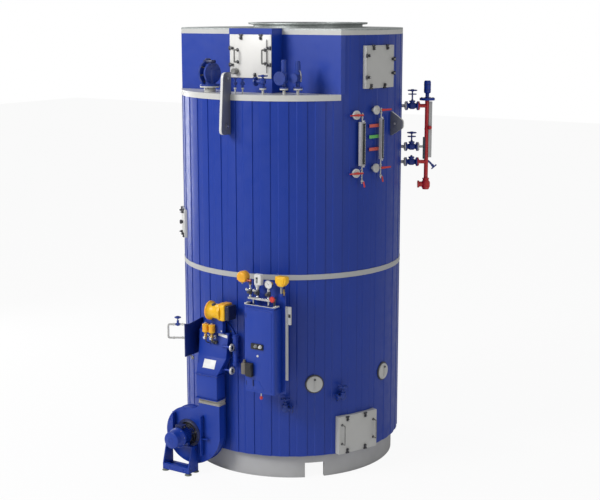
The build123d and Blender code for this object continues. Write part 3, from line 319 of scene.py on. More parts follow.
# Collects bevelled and turned shapes with their materials into one piece
class Build:
    def __init__(self, name, body="boiler"):
        self.name = name
        self.body = body
        self.mesh = bmesh.new()
        self.materials = []

    def add(self, part, material, matrix=None, smooth=True):
        if material not in self.materials:
            self.materials.append(material)
        index = self.materials.index(material)
        if matrix is not None:
            bmesh.ops.transform(part, matrix=matrix, verts=part.verts)
        bmesh.ops.recalc_face_normals(part, faces=part.faces)
        for face in part.faces:
            face.material_index = index
            face.smooth = smooth
        scratch = bpy.data.meshes.new("scratch")
        part.to_mesh(scratch)
        part.free()
        self.mesh.from_mesh(scratch)
        bpy.data.meshes.remove(scratch)

    def box(self, matrix, size, material, bevel=0.002, steps=2, at=(0, 0, 0)):
        part = bmesh.new()
        bmesh.ops.create_cube(part, size=1.0)
        bmesh.ops.scale(part, vec=Vector(size), verts=part.verts)
        bmesh.ops.translate(part, vec=Vector(at), verts=part.verts)
        if bevel:
            bmesh.ops.bevel(part, geom=part.edges[:], offset=bevel, segments=steps, affect="EDGES", profile=0.5)
        self.add(part, material, matrix)

    def turn(self, matrix, profile, material, steps=32, at=(0, 0, 0)):
        part = bmesh.new()
        rings = []
        for radius, height in profile:
            if radius <= 1e-6:
                rings.append([part.verts.new((at[0], at[1], at[2] + height))])
                continue
            loop = []
            for index in range(steps):
                angle = 2 * pi * index / steps
                loop.append(part.verts.new((
                    at[0] + radius * cos(angle), at[1] + radius * sin(angle), at[2] + height)))
            rings.append(loop)
        for first, second in zip(rings, rings[1:]):
            for index in range(steps):
                after = (index + 1) % steps
                if len(first) == 1 and len(second) == 1:
                    break
                if len(first) == 1:
                    part.faces.new((first[0], second[index], second[after]))
                elif len(second) == 1:
                    part.faces.new((first[index], second[0], first[after]))
                else:
                    part.faces.new((first[index], second[index], second[after], first[after]))
        for end in (rings[0], rings[-1]):
            if len(end) > 1:
                part.faces.new(end)
        self.add(part, material, matrix)

    def ringed(self, matrix, profile, material, steps=32, at=(0, 0, 0)):
        part = bmesh.new()
        rings = []
        for radius, height in profile:
            rings.append([part.verts.new((
                at[0] + radius * cos(2 * pi * index / steps), at[1] + radius * sin(2 * pi * index / steps),
                at[2] + height)) for index in range(steps)])
        for first, second in zip(rings, rings[1:] + rings[:1]):
            for index in range(steps):
                after = (index + 1) % steps
                part.faces.new((first[index], second[index], second[after], first[after]))
        self.add(part, material, matrix)

    def bolt(self, matrix, x, y, radius, material, high=None, z=0.0):
        high = high or radius * 0.8
        self.turn(matrix, [(radius * 1.5, 0), (radius * 1.5, high * 0.2), (radius * 1.15, high * 0.2),
                           (radius * 1.15, high), (radius * 0.8, high * 1.15), (0, high * 1.15)],
                  material, steps=6, at=(x, y, z))

    def tube(self, points, radius, material, steps=12, smoothing=4, closed=False):
        curve = bpy.data.curves.new("scratch", "CURVE")
        curve.dimensions = "3D"
        curve.bevel_depth = radius
        curve.bevel_resolution = max(1, steps // 4 - 1)
        curve.resolution_u = smoothing
        curve.use_fill_caps = True
        line = curve.splines.new("NURBS")
        line.points.add(len(points) - 1)
        for target, point in zip(line.points, points):
            target.co = (*point, 1)
        line.use_cyclic_u = closed
        line.use_endpoint_u = not closed
        line.order_u = 3
        scratch = bpy.data.objects.new("scratch", curve)
        mesh = bpy.data.meshes.new_from_object(scratch)
        part = bmesh.new()
        part.from_mesh(mesh)
        bpy.data.objects.remove(scratch)
        bpy.data.curves.remove(curve)
        bpy.data.meshes.remove(mesh)
        self.add(part, material)

    def sheet(self, matrix, outline, low, high, material, bevel=0.0):
        part = bmesh.new()
        bottom = [part.verts.new((x, y, low)) for x, y in outline]
        top = [part.verts.new((x, y, high)) for x, y in outline]
        part.faces.new(bottom)
        part.faces.new(top)
        for index in range(len(outline)):
            after = (index + 1) % len(outline)
            part.faces.new((bottom[index], bottom[after], top[after], top[index]))
        bmesh.ops.recalc_face_normals(part, faces=part.faces)
        if bevel:
            bmesh.ops.bevel(part, geom=part.edges[:], offset=bevel, segments=2, affect="EDGES", profile=0.5)
        self.add(part, material, matrix)

    def make(self, replaces=(), slot=None, sharp=32):
        mesh = bpy.data.meshes.new(self.name)
        self.mesh.to_mesh(mesh)
        self.mesh.free()
        for material in self.materials:
            mesh.materials.append(material)
        mesh.set_sharp_from_angle(angle=radians(sharp))
        piece = bpy.data.objects.new(self.name, mesh)
        scene.collection.objects.link(piece)
        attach(piece, self.body)
        if replaces:
            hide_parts(*replaces)
        return piece


# Cladding sheets with shallow ribs round the drum, in metres and degrees
cladding = {"ribs": 40, "ribStart": 8.4, "ribEnd": 13.2, "ribDepth": 0.005, "seamDepth": 0.007, "flank": 0.42,
            "radius": 1.150, "inner": 1.045}
skinRadius = cladding["radius"]
panelRadius = skinRadius - cladding["ribDepth"]
seamRadius = skinRadius - cladding["seamDepth"]


def skinLine(first, last):
    start, end, flank = cladding["ribStart"], cladding["ribEnd"], cladding["flank"]
    pitch = 360 / cladding["ribs"]
    marks = [
        (start, skinRadius), (start + 1.6, skinRadius), (start + 3.2, skinRadius), (end, skinRadius),
        (end + 0.08, seamRadius), (end + 0.22, seamRadius), (end + flank, panelRadius), (end + 1.8, panelRadius),
        (end + 3.0, panelRadius), (start + pitch - flank, panelRadius),
    ]
    return [(bearing + index * pitch, radius) for index in range(-20, 40) for bearing, radius in marks
            if first <= bearing + index * pitch <= last]


def skin(name, low, high, first=None, last=None):
    closed = first is None
    line = skinLine(0.0, 359.999) if closed else skinLine(first, last)
    if not closed:
        edge = skinRadius - cladding["ribDepth"] / 2
        line = [(first, edge), *line, (last, edge)]
    build = Build(name)
    part = bmesh.new()
    rows = []
    for outer, height in ((1, low), (1, high), (0, high), (0, low)):
        row = []
        for bearing, radius in line:
            row.append(part.verts.new(at(bearing, radius if outer else cladding["inner"], height)))
        rows.append(row)
    count = len(line)
    for row, after in zip(rows, rows[1:] + rows[:1]):
        for index in range(count if closed else count - 1):
            step = (index + 1) % count
            part.faces.new((row[index], row[step], after[step], after[index]))
    if not closed:
        for index in (0, count - 1):
            part.faces.new([row[index] for row in rows])
    build.add(part, claddingBlue)
    return build


for name, node, low, high, *ends in (
        ("lowerSkin", "lower_cladding", 0.249, 2.079), ("upperSkin", "upper_cladding", 2.131, 3.832),
        ("ledgeSkin", "upper_cladding", 3.832, 3.889, 57.2, 302.8),
        ("topSkin", "upper_cladding", 3.889, 4.456, 59.5, 300.5)):
    skin(name, low, high, *ends).make(replaces=[node], slot=node, sharp=14)
print("skins done")


# Swing clamp: a bar over the edge of a cover, with a nut and a lug
def clampOn(build, base, x, y, turned=0.0, size=0.052):
    spot = base @ Matrix.Translation((x, y, 0)) @ Matrix.Rotation(radians(turned), 4, "Z")
    build.box(spot, (0.024, size, 0.013), darkSteel, 0.004, at=(0, 0.004, 0.0065))
    build.box(spot, (0.038, 0.014, 0.018), darkSteel, 0.003, at=(0, 0.026, 0.006))
    build.bolt(spot, 0, -0.004, 0.010, darkSteel, 0.011, 0.013)
    build.turn(spot, [(0.006, 0), (0.006, 0.034), (0.004, 0.037), (0, 0.037)], brightSteel, 12, at=(0, -0.004, 0))


def dHandle(build, base, x, y, length, stand, radius=0.006, material=None):
    half = length / 2
    local = [
        (x, y - half, 0), (x, y - half, stand * 0.75), (x, y - half, stand), (x, y - half + 0.02, stand),
        (x, y, stand), (x, y + half - 0.02, stand), (x, y + half, stand), (x, y + half, stand * 0.75),
        (x, y + half, 0),
    ]
    build.tube([base @ Vector(point) for point in local], radius, material or handleGrey)
    for end in (-half, half):
        build.turn(base, [(radius * 2.2, 0), (radius * 2.2, 0.003), (radius, 0.005), (0, 0.005)], darkSteel, 16,
                   at=(x, y + end, 0))


# White cover on the smoke box
hatchPlan = {"centre": (0.0365, -0.802, 4.244), "cover": (0.495, 0.424, 0.014), "field": (0.470, 0.399, 0.004)}
smokeHatch = Build("smokeHatch")
hatchBase = frontPlane(*hatchPlan["centre"])
smokeHatch.box(hatchBase, hatchPlan["cover"], hatchWhite, 0.003, at=(0, 0, 0.007))
smokeHatch.box(hatchBase, hatchPlan["field"], hatchWhite, 0.0015, at=(0, 0, 0.014))
hatchFace = hatchBase @ Matrix.Translation((0, 0, 0.016))
for x in (-0.106, 0.130):
    clampOn(smokeHatch, hatchFace, x, 0.183)
for x, y, turned in ((-0.219, 0.078, 90), (-0.219, -0.086, 90), (0.219, 0.082, -90), (0.219, -0.080, -90)):
    clampOn(smokeHatch, hatchFace, x, y, turned)
clampOn(smokeHatch, hatchFace, 0.060, -0.183, 180)
dHandle(smokeHatch, hatchFace, -0.150, 0.002, 0.118, 0.058, 0.008)
dHandle(smokeHatch, hatchFace, 0.180, -0.002, 0.132, 0.058, 0.008)
smokeHatch.tube([hatchFace @ Vector((0.206, y, 0.012)) for y in (-0.160, -0.05, 0.05, 0.165)], 0.0035, darkSteel)
smokeHatch.turn(hatchFace, [(0.030, 0), (0.031, 0.006), (0.022, 0.012), (0.020, 0.036), (0.030, 0.042),
                            (0.030, 0.056), (0.024, 0.062), (0, 0.062)], handleGrey, 24, at=(-0.168, -0.150, 0))
smokeHatch.make(replaces=["smoke_box_hatch"], slot="smoke_box_hatch")

# Grey covers round the cladding, their clamps turned to the nearest edge, and the hand hole covers
coverPlans = (
    {"bearing": 81.1, "middle": 4.146, "width": 0.440, "height": 0.416, "proud": 0.016, "clamp": 0.046, "handles": (),
     "clamps": ((-0.115, 0.182, 0), (0.102, 0.182, 0), (-0.150, -0.182, 180), (0.066, -0.182, 180),
                (-0.196, 0.112, 90), (-0.196, -0.098, 90), (0.196, 0.070, -90), (0.196, -0.068, -90))},
    {"bearing": 67.5, "middle": 0.4505, "width": 0.484, "height": 0.395, "proud": 0.034, "clamp": 0.044,
     "handles": ((-0.205, 0.012, 0.200), (0.195, 0.005, 0.190)),
     "clamps": ((-0.140, 0.164, 0), (0.088, 0.164, 0), (-0.140, -0.164, 180), (0.088, -0.164, 180))},
    {"bearing": -47.0, "middle": 2.505, "width": 0.300, "height": 0.290, "proud": 0.014, "clamp": 0.040, "handles": (),
     "clamps": ((-0.075, 0.118, 0), (0.075, 0.118, 0), (-0.075, -0.118, 180), (0.075, -0.118, 180))},
)
handHoles = {"bearings": (44.0, 87.3), "height": 1.009}
covers = Build("coverPlates")
for plan in coverPlans:
    width, height, deep = plan["width"], plan["height"], 0.050 + plan["proud"]
    base = facing(plan["bearing"], skinRadius + plan["proud"], plan["middle"])
    covers.box(base, (width, height, deep), hatchGrey, 0.003, at=(0, 0, -deep / 2))
    covers.box(base, (width - 0.03, height - 0.03, 0.003), hatchGrey, 0.001, at=(0, 0, 0.0008))
    base = base @ Matrix.Translation((0, 0, 0.0023))
    for x, y, turned in plan["clamps"]:
        clampOn(covers, base, x, y, turned, plan["clamp"])
    for x, y, length in plan["handles"]:
        dHandle(covers, base, x, y, length, 0.050)
covers.turn(base, [(0.016, 0), (0.016, 0.010), (0.022, 0.014), (0.022, 0.030), (0.016, 0.036), (0, 0.036)],
            darkSteel, 24)
for bearing in handHoles["bearings"]:
    base = facing(bearing, skinRadius, handHoles["height"])
    covers.ringed(base, [(0.096, -0.012), (0.096, 0.006), (0.092, 0.010), (0.082, 0.010), (0.082, -0.012)], darkSteel,
                  40)
    covers.turn(base, [(0.083, -0.02), (0.084, 0.012), (0.080, 0.019), (0.070, 0.021), (0.030, 0.023), (0, 0.023)],
                hatchGrey, 40)
    covers.box(base, (0.012, 0.120, 0.010), hatchGrey, 0.003, at=(0, 0.004, 0.026))
    covers.bolt(base, 0, 0.050, 0.008, darkSteel, 0.008, 0.031)
covers.make(replaces=["access_hatches"], slot="access_hatches")
print("hatches done")


# Nuts round a flange
def boltRing(build, base, radius, count, size, material, z=0.0, start=0.0):
    for index in range(count):
        angle = radians(start + 360 * index / count)
        build.bolt(base, radius * cos(angle), radius * sin(angle), size, material, z=z)


# What stands on the ledge: bearing, reach from the axis, flange radius, count and size of its nuts
ledgePlan = {
    "mainValve": (-20.3, 1.024, 0.098, 8, 0.009), "wheelValve": (17.3, 1.047, 0.033, 4, 0.004),
    "leftSafety": (28.8, 1.061, 0.041, 4, 0.0045), "rightSafety": (36.0, 1.064, 0.045, 4, 0.005),
}
ledgeBolts = Build("ledgeBolts")
for bearing, radius, flange, count, size in ledgePlan.values():
    spot = at(bearing, radius, 3.949)
    up = upPlane(*spot)
    boltRing(ledgeBolts, up, flange * 0.82, count, size, darkSteel, 0.012, 22)
    for index in range(count):
        angle = radians(22 + 360 * index / count)
        place = (flange * 0.82 * cos(angle), flange * 0.82 * sin(angle), -0.021)
        ledgeBolts.turn(up, [(size * 1.1, 0), (size * 1.1, 0.008), (0, 0.008)], darkSteel, 6, at=place)
mainSpot = at(*ledgePlan["mainValve"][:2], 4.077)
toward = at(79.0, 1, 0)
mainSide = along(mainSpot - toward * 0.038, mainSpot)
boltRing(ledgeBolts, mainSide, 0.104, 8, 0.009, darkSteel, 0.024, 10)
boltRing(ledgeBolts, mainSide, 0.090, 8, 0.007, valveBlue, 0.088, 22)
for index in range(8):
    angle = radians(10 + 45 * index)
    ledgeBolts.turn(mainSide, rod(0.005, 0.062), darkSteel, 8,
                    at=(0.096 * cos(angle), 0.096 * sin(angle), 0.010))
ledgeBolts.box(upPlane(*(mainSpot + Vector((0, 0, 0.112)))), (0.110, 0.075, 0.034), darkBlue, 0.010)
ledgeBolts.turn(upPlane(*(mainSpot + Vector((-0.02, 0, 0.128)))),
                [(0.03, 0), (0.03, 0.010), (0.02, 0.016), (0, 0.016)], darkBlue, 24)
for valve, size in (("leftSafety", 0.066), ("rightSafety", 0.046)):
    spot = at(*ledgePlan[valve][:2], 4.049)
    boltRing(ledgeBolts, frontPlane(spot.x, spot.y - 0.084, spot.z), size * 0.78, 6, size * 0.08, valveBlue, -0.001, 30)
lever = at(*ledgePlan["rightSafety"][:2], 4.06)
ledgeBolts.tube([lever + Vector(point) for point in (
    (0.026, -0.010, 0.062), (0.040, -0.018, 0.058), (0.052, -0.026, 0.03), (0.056, -0.030, -0.005),
    (0.052, -0.030, -0.030), (0.055, -0.032, -0.042))], 0.006, brightSteel)
ledgeBolts.make()

# Rims of the holes in the outlet's flange
outletPlan = {"holes": 12, "pitchRadius": 0.606, "back": 0.311, "top": 4.565}
outletBolts = Build("outletBolts")
for index in range(outletPlan["holes"]):
    angle, pitch = 2 * pi * index / outletPlan["holes"], outletPlan["pitchRadius"]
    spot = upPlane(pitch * cos(angle), outletPlan["back"] + pitch * sin(angle), outletPlan["top"])
    outletBolts.ringed(spot, [(0.0092, -0.0005), (0.0092, 0.0), (0.014, 0.0), (0.014, -0.0005)], zinc, 16)
outletBolts.make()

# Lifting lugs: rounded plates with bosses, and the eye of the right one; their edges carry a painted highlight and
# their sides and bosses painted shade
def roundCorners(points, radii):
    outline = []
    for index, (corner, radius) in enumerate(zip(points, radii)):
        spot = Vector(corner)
        if not radius:
            outline.append(corner)
            continue
        before = (Vector(points[index - 1]) - spot).normalized()
        after = (Vector(points[(index + 1) % len(points)]) - spot).normalized()
        reach = radius / tan(before.angle(after) / 2)
        start, end = spot + before * reach, spot + after * reach
        for step in range(9):
            share = step / 8
            outline.append(tuple(start.lerp(spot, share).lerp(spot.lerp(end, share), share)))
    return outline


lugPlan = {
    "left": {"bearing": 0.8, "corners": [(1.135, 3.502), (1.308, 3.502), (1.262, 4.102), (1.135, 4.102)],
             "rounding": [0, 0.058, 0.060, 0], "rimFrom": 1.2, "rimHalf": 0.0135, "rimGrow": 1},
    "right": {"bearing": 93.0, "corners": [(1.135, 3.452), (1.165, 3.452), (1.288, 3.530), (1.288, 3.604),
                                           (1.165, 3.690), (1.135, 3.690)],
              "rounding": [0, 0.02, 0.040, 0.040, 0.02, 0], "rimFrom": 1.15, "rimHalf": 0.0120, "rimGrow": 1.0003},
}
lugHalf = 0.0155
lugs = Build("lugPlates")


def lugPlate(plan):
    side = rightOf(plan["bearing"])
    base = plane((0, 0, 0), at(plan["bearing"], 1, 0), side * -1)
    line = roundCorners(plan["corners"], plan["rounding"])
    if base.col[1].z < 0:
        line = [(x, -y) for x, y in line]
    rim = [(x + (0.0016 if x > plan["rimFrom"] else 0), y * plan["rimGrow"]) for x, y in line]
    # painted shade on the flat sides, painted highlight on the slightly wider rim round the edge
    lugs.sheet(base, line, -lugHalf, lugHalf, lugSideShade, 0.001)
    lugs.sheet(base, rim, -plan["rimHalf"], plan["rimHalf"], lugEdgeHighlight, 0.002)
    return side


side = lugPlate(lugPlan["left"])
for radius, height in ((1.212, 3.582), (1.200, 4.044)):
    for sign in (1, -1):
        spot = at(lugPlan["left"]["bearing"], radius, height) + side * sign * lugHalf
        lugs.turn(along(spot, spot + side * sign), [(0.030, 0), (0.030, 0.006), (0.026, 0.009), (0.0135, 0.010),
                                                    (0.013, 0.004),
                                                    (0, 0.004)], lugSideShade, 32)
        lugs.bolt(along(spot + side * sign * 0.004, spot + side * sign), 0, 0, 0.009, brightSteel, 0.012)
side = lugPlate(lugPlan["right"])
eyeSpot = at(lugPlan["right"]["bearing"], 1.202, 3.571)
for sign in (1, -1):
    start = eyeSpot + side * sign * lugHalf
    lugs.turn(along(start, start + side * sign), [(0.030, 0), (0.030, 0.003), (0.022, 0.005), (0.021, 0.001),
                                                  (0, 0.001)], lugSideShade, 32)
    lugs.turn(along(start, start + side * sign), rod(0.011, 0.0025, 0.001), capGrey, 24)
lugs.make(replaces=["lifting_lugs"], slot="lifting_lugs")
print("ledge done")

# Sight gauges: dark glass, scale lines, frame screws and drain levers
# Glass and column: middle sideways, width, length
gauges = (
    {"bearing": 64.5, "top": 3.690, "low": 3.122, "glass": (0.077, 0.034, 0.400), "column": (0.066, 0.060, 0.430),
     "pins": False},
    {"bearing": 76.8, "top": 3.727, "low": 3.154, "glass": (0.077, 0.020, 0.384), "column": (0.073, 0.032, 0.410),
     "pins": True},
)
gaugeTrim = Build("gaugeTrim")
for gauge in gauges:
    bearing, top, low = gauge["bearing"], gauge["top"], gauge["low"]
    centre, wide, long = gauge["glass"]
    base = facing(bearing, 1.220, (top + low) / 2)
    gaugeTrim.box(base, (wide, long, 0.006), glassDark, 0.002, at=(centre, 0, 0.001))
    gaugeTrim.box(base, (0.0025, long - 0.02, 0.001), whitePlastic, 0, at=(centre + wide * 0.3, 0, 0.0044))
    for index in range(11):
        gaugeTrim.box(base, (0.006, 0.0014, 0.001), whitePlastic, 0,
                      at=(centre + wide * 0.2, -0.18 + 0.036 * index, 0.0044))
    for index in range(6):
        for x in (centre - wide / 2 - 0.004, centre + wide / 2 + 0.0025):
            gaugeTrim.bolt(base, x, -0.19 + 0.076 * index, 0.0022, brightSteel, z=-0.001)
    back = facing(bearing, 1.200, 0)
    start = back @ Vector((0.074, low - 0.078, 0.006))
    bend = back @ Vector((0.082, low - 0.088, 0.009))
    tip = back @ Vector((0.095, low - 0.144, 0.009))
    gaugeTrim.tube([start, (start + bend) / 2, bend, bend * 0.6 + tip * 0.4], 0.004, brightSteel)
    gaugeTrim.tube([bend, bend * 0.6 + tip * 0.4, bend * 0.3 + tip * 0.7, tip], 0.0078, leverRed)
gaugeTrim.make()
print("gauges done")

# Cabinet: door, switches, socket, drain, tray lip and lugs
cabinetPlan = {"face": (0.487, -1.350, 1.425), "door": (0.296, 0.806, 0.004)}
cabinet = Build("cabinetTrim")
face = frontPlane(*cabinetPlan["face"])
cabinet.box(face, cabinetPlan["door"], boxBlue, 0.0015, at=(0, 0, 0.001))
for z in (0.34, -0.34):
    cabinet.turn(face @ Matrix.Rotation(radians(90), 4, "X"), rod(0.004, 0.022, -0.022), darkBlue, 12,
                 at=(-0.150, 0.001, -z))
cabinet.box(face, (0.141, 0.057, 0.016), blackPlastic, 0.004, at=(-0.0165, 0.045, 0.010))
for x, tint in ((-0.026, greyPlastic), (0.028, whitePlastic)):
    cabinet.turn(face, [(0.017, 0.018), (0.017, 0.023), (0.014, 0.025), (0.0135, 0.036), (0.011, 0.039), (0, 0.039)],
                 tint, 28, at=(x, 0.049, 0))
    cabinet.box(face, (0.005, 0.024, 0.006), tint, 0.002, at=(x, 0.049, 0.040))
cabinet.turn(face, [(0.012, 0.002), (0.012, 0.007), (0.009, 0.010), (0.004, 0.0105), (0.004, 0.007), (0, 0.007)],
             whitePlastic, 24, at=(-0.013, -0.051, 0))
cabinet.box(face, (0.014, 0.064, 0.010), darkBlue, 0.004, at=(-0.067, -0.333, 0.006))
cabinet.sheet(face, [(-0.060, -0.400), (0.060, -0.400), (0.060, -0.392), (0.000, -0.300), (-0.060, -0.300)],
              0.002, 0.0045, boxBlue, 0.001)
cabinet.box(face, (0.076, 0.140, 0.040), blackPlastic, 0.008, at=(-0.101, -0.198, 0.022))
cabinet.box(face, (0.066, 0.050, 0.008), blackPlastic, 0.004, at=(-0.101, -0.166, 0.045))
cabinet.box(face, (0.052, 0.118, 0.048), warmGrey, 0.010, at=(-0.167, -0.196, 0.014))
cabinet.turn(face @ Matrix.Rotation(radians(-90), 4, "X"),
             [(0.015, 0), (0.015, 0.010), (0.011, 0.013), (0.011, 0.030), (0, 0.030)],
             warmGrey, 20, at=(-0.167, -0.014, -0.137))
drain = upPlane(0.494, -1.325, 1.0)
cabinet.turn(drain, [(0.010, 0), (0.010, -0.008), (0.006, -0.010), (0.006, -0.041), (0, -0.041)], brightSteel, 20)
cabinet.turn(drain, [(0.007, -0.037), (0.014, -0.043), (0.016, -0.057), (0.012, -0.068), (0, -0.070)], leverRed, 24)
cabinet.box(upPlane(0.487, -1.3425, 1.8765), (0.340, 0.005, 0.006), bandLight, 0.0015)
for x in (0.319, 0.655):
    cabinet.sheet(upPlane(x, -1.300, 1.877), [(-0.014, -0.036), (0.012, -0.036), (0.016, 0.036), (-0.004, 0.036)],
                  -0.004, 0.010, bandLight, 0.002)
    cabinet.bolt(upPlane(x, -1.300, 1.887), 0, 0, 0.006, brightSteel)
cabinet.box(frontPlane(0.758, -1.222, 1.786), (0.026, 0.034, 0.002), blackPlastic, 0.0006)
cabinet.box(frontPlane(0.736, -1.222, 1.7865), (0.0015, 0.170, 0.0014), seamAndShadeNavy, 0)
for height in (1.20, 1.40, 1.60, 1.86):
    cabinet.bolt(frontPlane(0.724, -1.222, height), 0, 0, 0.004, brightSteel)
for x in (0.360, 0.694):
    for height in (1.012, 2.080):
        cabinet.bolt(frontPlane(x, -1.210, height), 0, 0, 0.007, darkSteel)
cabinet.turn(upPlane(0.700, -1.232, 1.985), [(0.010, 0), (0.010, 0.020), (0.014, 0.022), (0.014, 0.034), (0.008, 0.036),
                                            (0.008, 0.060), (0, 0.060)], brass, 20)
cabinet.make()

# Manifold with three small valves and a red drain knob
pipePlan = {"front": -1.300, "bar": 1.934, "knob": (0.636, -1.300, 1.957),
            "stems": ((0.355, 2.080, True), (0.440, 2.041, True), (0.570, 2.041, False))}
pipeFront = pipePlan["front"]
knobFace = frontPlane(*pipePlan["knob"])
manifold = Build("manifoldPipe")
manifold.box(upPlane(0.462, pipeFront, pipePlan["bar"]), (0.264, 0.024, 0.022), brightSteel, 0.003)
for x in (0.394, 0.570):
    manifold.box(upPlane(x, pipeFront, 1.8885), (0.016, 0.016, 0.069), brightSteel, 0.002)
    manifold.box(upPlane(x, pipeFront, 1.857), (0.034, 0.026, 0.005), brightSteel, 0.001)
for x, top, knob in pipePlan["stems"]:
    stem = upPlane(x, pipeFront, 1.945)
    high = top - 1.945
    manifold.turn(stem, rod(0.009, high), brightSteel, 24)
    for low in (0.002, 0.074, high - 0.014):
        manifold.turn(stem, [(0.014, low), (0.0155, low + 0.002), (0.0155, low + 0.010), (0.014, low + 0.012)],
                      brass if low > 0.1 else brightSteel, 6)
    manifold.turn(stem, [(0.013, 0.024), (0.020, 0.034), (0.0225, 0.046), (0.0225, 0.060), (0.020, 0.070),
                         (0.013, 0.078)],
                  darkSteel, 28)
    bonnet = frontPlane(x, pipeFront, 1.998)
    manifold.turn(bonnet, [(0.014, 0), (0.014, 0.026), (0.010, 0.028), (0.010, 0.034), (0.0145, 0.036), (0.0145, 0.044),
                           (0.008, 0.046), (0, 0.046)], darkSteel, 20)
    if knob:
        side = along((x, -1.306, 2.010), (x - 1, -1.306, 2.10))
        manifold.turn(side, [(0.006, 0.018), (0.006, 0.032), (0.013, 0.034), (0.0135, 0.044), (0.009, 0.049),
                             (0, 0.049)],
                      whitePlastic, 24)
end = along((0.592, pipeFront, pipePlan["bar"]), (1.0, pipeFront, pipePlan["bar"]))
manifold.turn(end, [(0.012, 0), (0.012, 0.010), (0.008, 0.012), (0.008, 0.036), (0, 0.036)], brightSteel, 20)
manifold.turn(upPlane(0.636, pipeFront, 1.854), [
    (0.016, 0), (0.016, 0.004), (0.010, 0.006), (0.010, 0.060), (0.017, 0.066), (0.018, 0.104), (0.010, 0.116),
    (0, 0.117)],
    darkSteel, 28)
manifold.turn(knobFace, [
    (0.010, 0.010), (0.010, 0.026), (0.021, 0.028), (0.027, 0.033), (0.0275, 0.042), (0.022, 0.049), (0.012, 0.051),
    (0, 0.051)],
    leverRed, 30)
for index in range(8):
    angle = index * pi / 4
    manifold.turn(knobFace, [(0.005, 0.031), (0.005, 0.044), (0, 0.045)], leverRed, 10,
                  at=(0.0255 * cos(angle), 0.0255 * sin(angle), 0))
manifold.make(replaces=["instrument_manifold"], slot="instrument_manifold")

# Switch, transmitter, dial and the yellow housing
headPlan = {"switch": (0.270, -1.256, 2.136), "transmitter": (0.456, -1.2735, 2.128), "dial": (0.578, -1.284, 2.094),
            "housing": (0.696, -1.222, 2.130)}
heads = Build("instrumentHeads")
orange = frontPlane(*headPlan["switch"])
heads.turn(orange, [(0.046, 0), (0.054, 0.006), (0.056, 0.012), (0.056, 0.050), (0.0575, 0.052), (0.0575, 0.058),
                    (0.055, 0.060), (0.055, 0.070), (0.051, 0.079), (0.044, 0.084), (0.020, 0.087), (0, 0.0875)],
           orangePlastic, 48)
for index in range(3):
    angle = radians(90 + 120 * index)
    heads.turn(orange, [(0.007, 0.058), (0.007, 0.082), (0.004, 0.084), (0, 0.084)], orangePlastic, 16,
               at=(0.048 * cos(angle), 0.048 * sin(angle), 0))
heads.box(orange, (0.050, 0.030, 0.010), orangePlastic, 0.004, at=(0.020, -0.030, 0.080))
gland = along((0.300, pipeFront, 2.104), (1.0, pipeFront, 2.104))
heads.turn(gland, [(0.016, 0), (0.016, 0.022), (0.019, 0.024), (0.019, 0.036), (0.012, 0.040), (0.012, 0.052),
                   (0.016, 0.054),
                   (0.016, 0.066), (0.010, 0.068), (0, 0.068)], copperRed, 6)
heads.turn(upPlane(0.355, pipeFront, 2.080), [(0.015, -0.010), (0.015, 0.004), (0.010, 0.006), (0.010, 0.030),
                                              (0.014, 0.034), (0, 0.036)],
           darkSteel, 20)
heads.turn(orange @ Matrix.Rotation(radians(90), 4, "X"), [(0.010, 0), (0.010, 0.070), (0.007, 0.074), (0, 0.074)],
           greyPlastic, 16, at=(-0.010, 0.044, 0))
white = frontPlane(*headPlan["transmitter"])
heads.box(white, (0.079, 0.106, 0.053), whitePlastic, 0.007, 3, at=(0, 0, 0.0265))
heads.box(white, (0.081, 0.108, 0.003), whitePlastic, 0.001, at=(0, 0, 0.018))
heads.box(white, (0.026, 0.058, 0.002), greyPlastic, 0.0008, at=(-0.006, -0.002, 0.0532))
heads.box(white, (0.019, 0.018, 0.002), glassDark, 0.0006, at=(-0.006, 0.014, 0.0540))
for index in range(3):
    heads.turn(white, [(0.004, 0.053), (0.004, 0.0555), (0, 0.0556)], blackPlastic, 16,
               at=(-0.006, -0.010 - 0.0105 * index, 0))
for x in (-0.034, 0.034):
    for y in (-0.047, 0.047):
        heads.turn(white, rod(0.003, 0.0538, 0.0525), brightSteel, 12, at=(x, y, 0))
heads.turn(upPlane(0.440, pipeFront, 2.041), [(0.014, -0.006), (0.014, 0.006), (0.019, 0.010), (0.024, 0.026),
                                              (0.032, 0.036), (0, 0.038)],
           whitePlastic, 32)
dial = frontPlane(*headPlan["dial"])
heads.turn(dial, [(0.036, 0), (0.041, 0.003), (0.043, 0.008), (0.043, 0.034), (0.0415, 0.036), (0.038, 0.036),
                  (0.038, 0.0325),
                  (0, 0.0325)], brightSteel, 48)
heads.turn(dial, rod(0.0378, 0.0330, 0.0322), whitePlastic, 48)
for index in range(19):
    angle = radians(-45 + 15 * index)
    spot = dial @ Matrix.Rotation(angle, 4, "Z")
    long = 0.006 if index % 3 == 0 else 0.0035
    heads.box(spot, (long, 0.0008, 0.0004), blackPlastic, 0, at=(0.0335 - long / 2, 0, 0.0332))
heads.sheet(dial @ Matrix.Rotation(radians(128), 4, "Z"),
            [(-0.009, -0.0012), (0.028, -0.0003), (0.028, 0.0003), (-0.009, 0.0012)],
            0.0334, 0.0338, blackPlastic)
heads.turn(dial, [(0.003, 0.033), (0.003, 0.0352), (0, 0.0354)], blackPlastic, 16)
heads.turn(upPlane(0.570, pipeFront, 2.041), [(0.009, 0), (0.009, 0.010), (0.012, 0.012), (0.012, 0.018), (0, 0.018)],
           brightSteel, 20)
yellow = frontPlane(*headPlan["housing"])
outline = [(-0.060, 0.040), (-0.052, 0.048), (0.052, 0.048), (0.060, 0.040), (0.060, -0.012), (0.030, -0.046),
           (0.020, -0.048),
           (-0.020, -0.048), (-0.030, -0.046), (-0.060, -0.012)]
heads.sheet(yellow, outline, 0.000, 0.052, yellowPlastic, 0.003)
heads.sheet(yellow, [(x * 1.012, y * 1.012) for x, y in outline], 0.050, 0.066, yellowPlastic, 0.004)
heads.sheet(yellow, [(x * 0.72, y * 0.70) for x, y in outline], 0.064, 0.0715, yellowPlastic, 0.003)
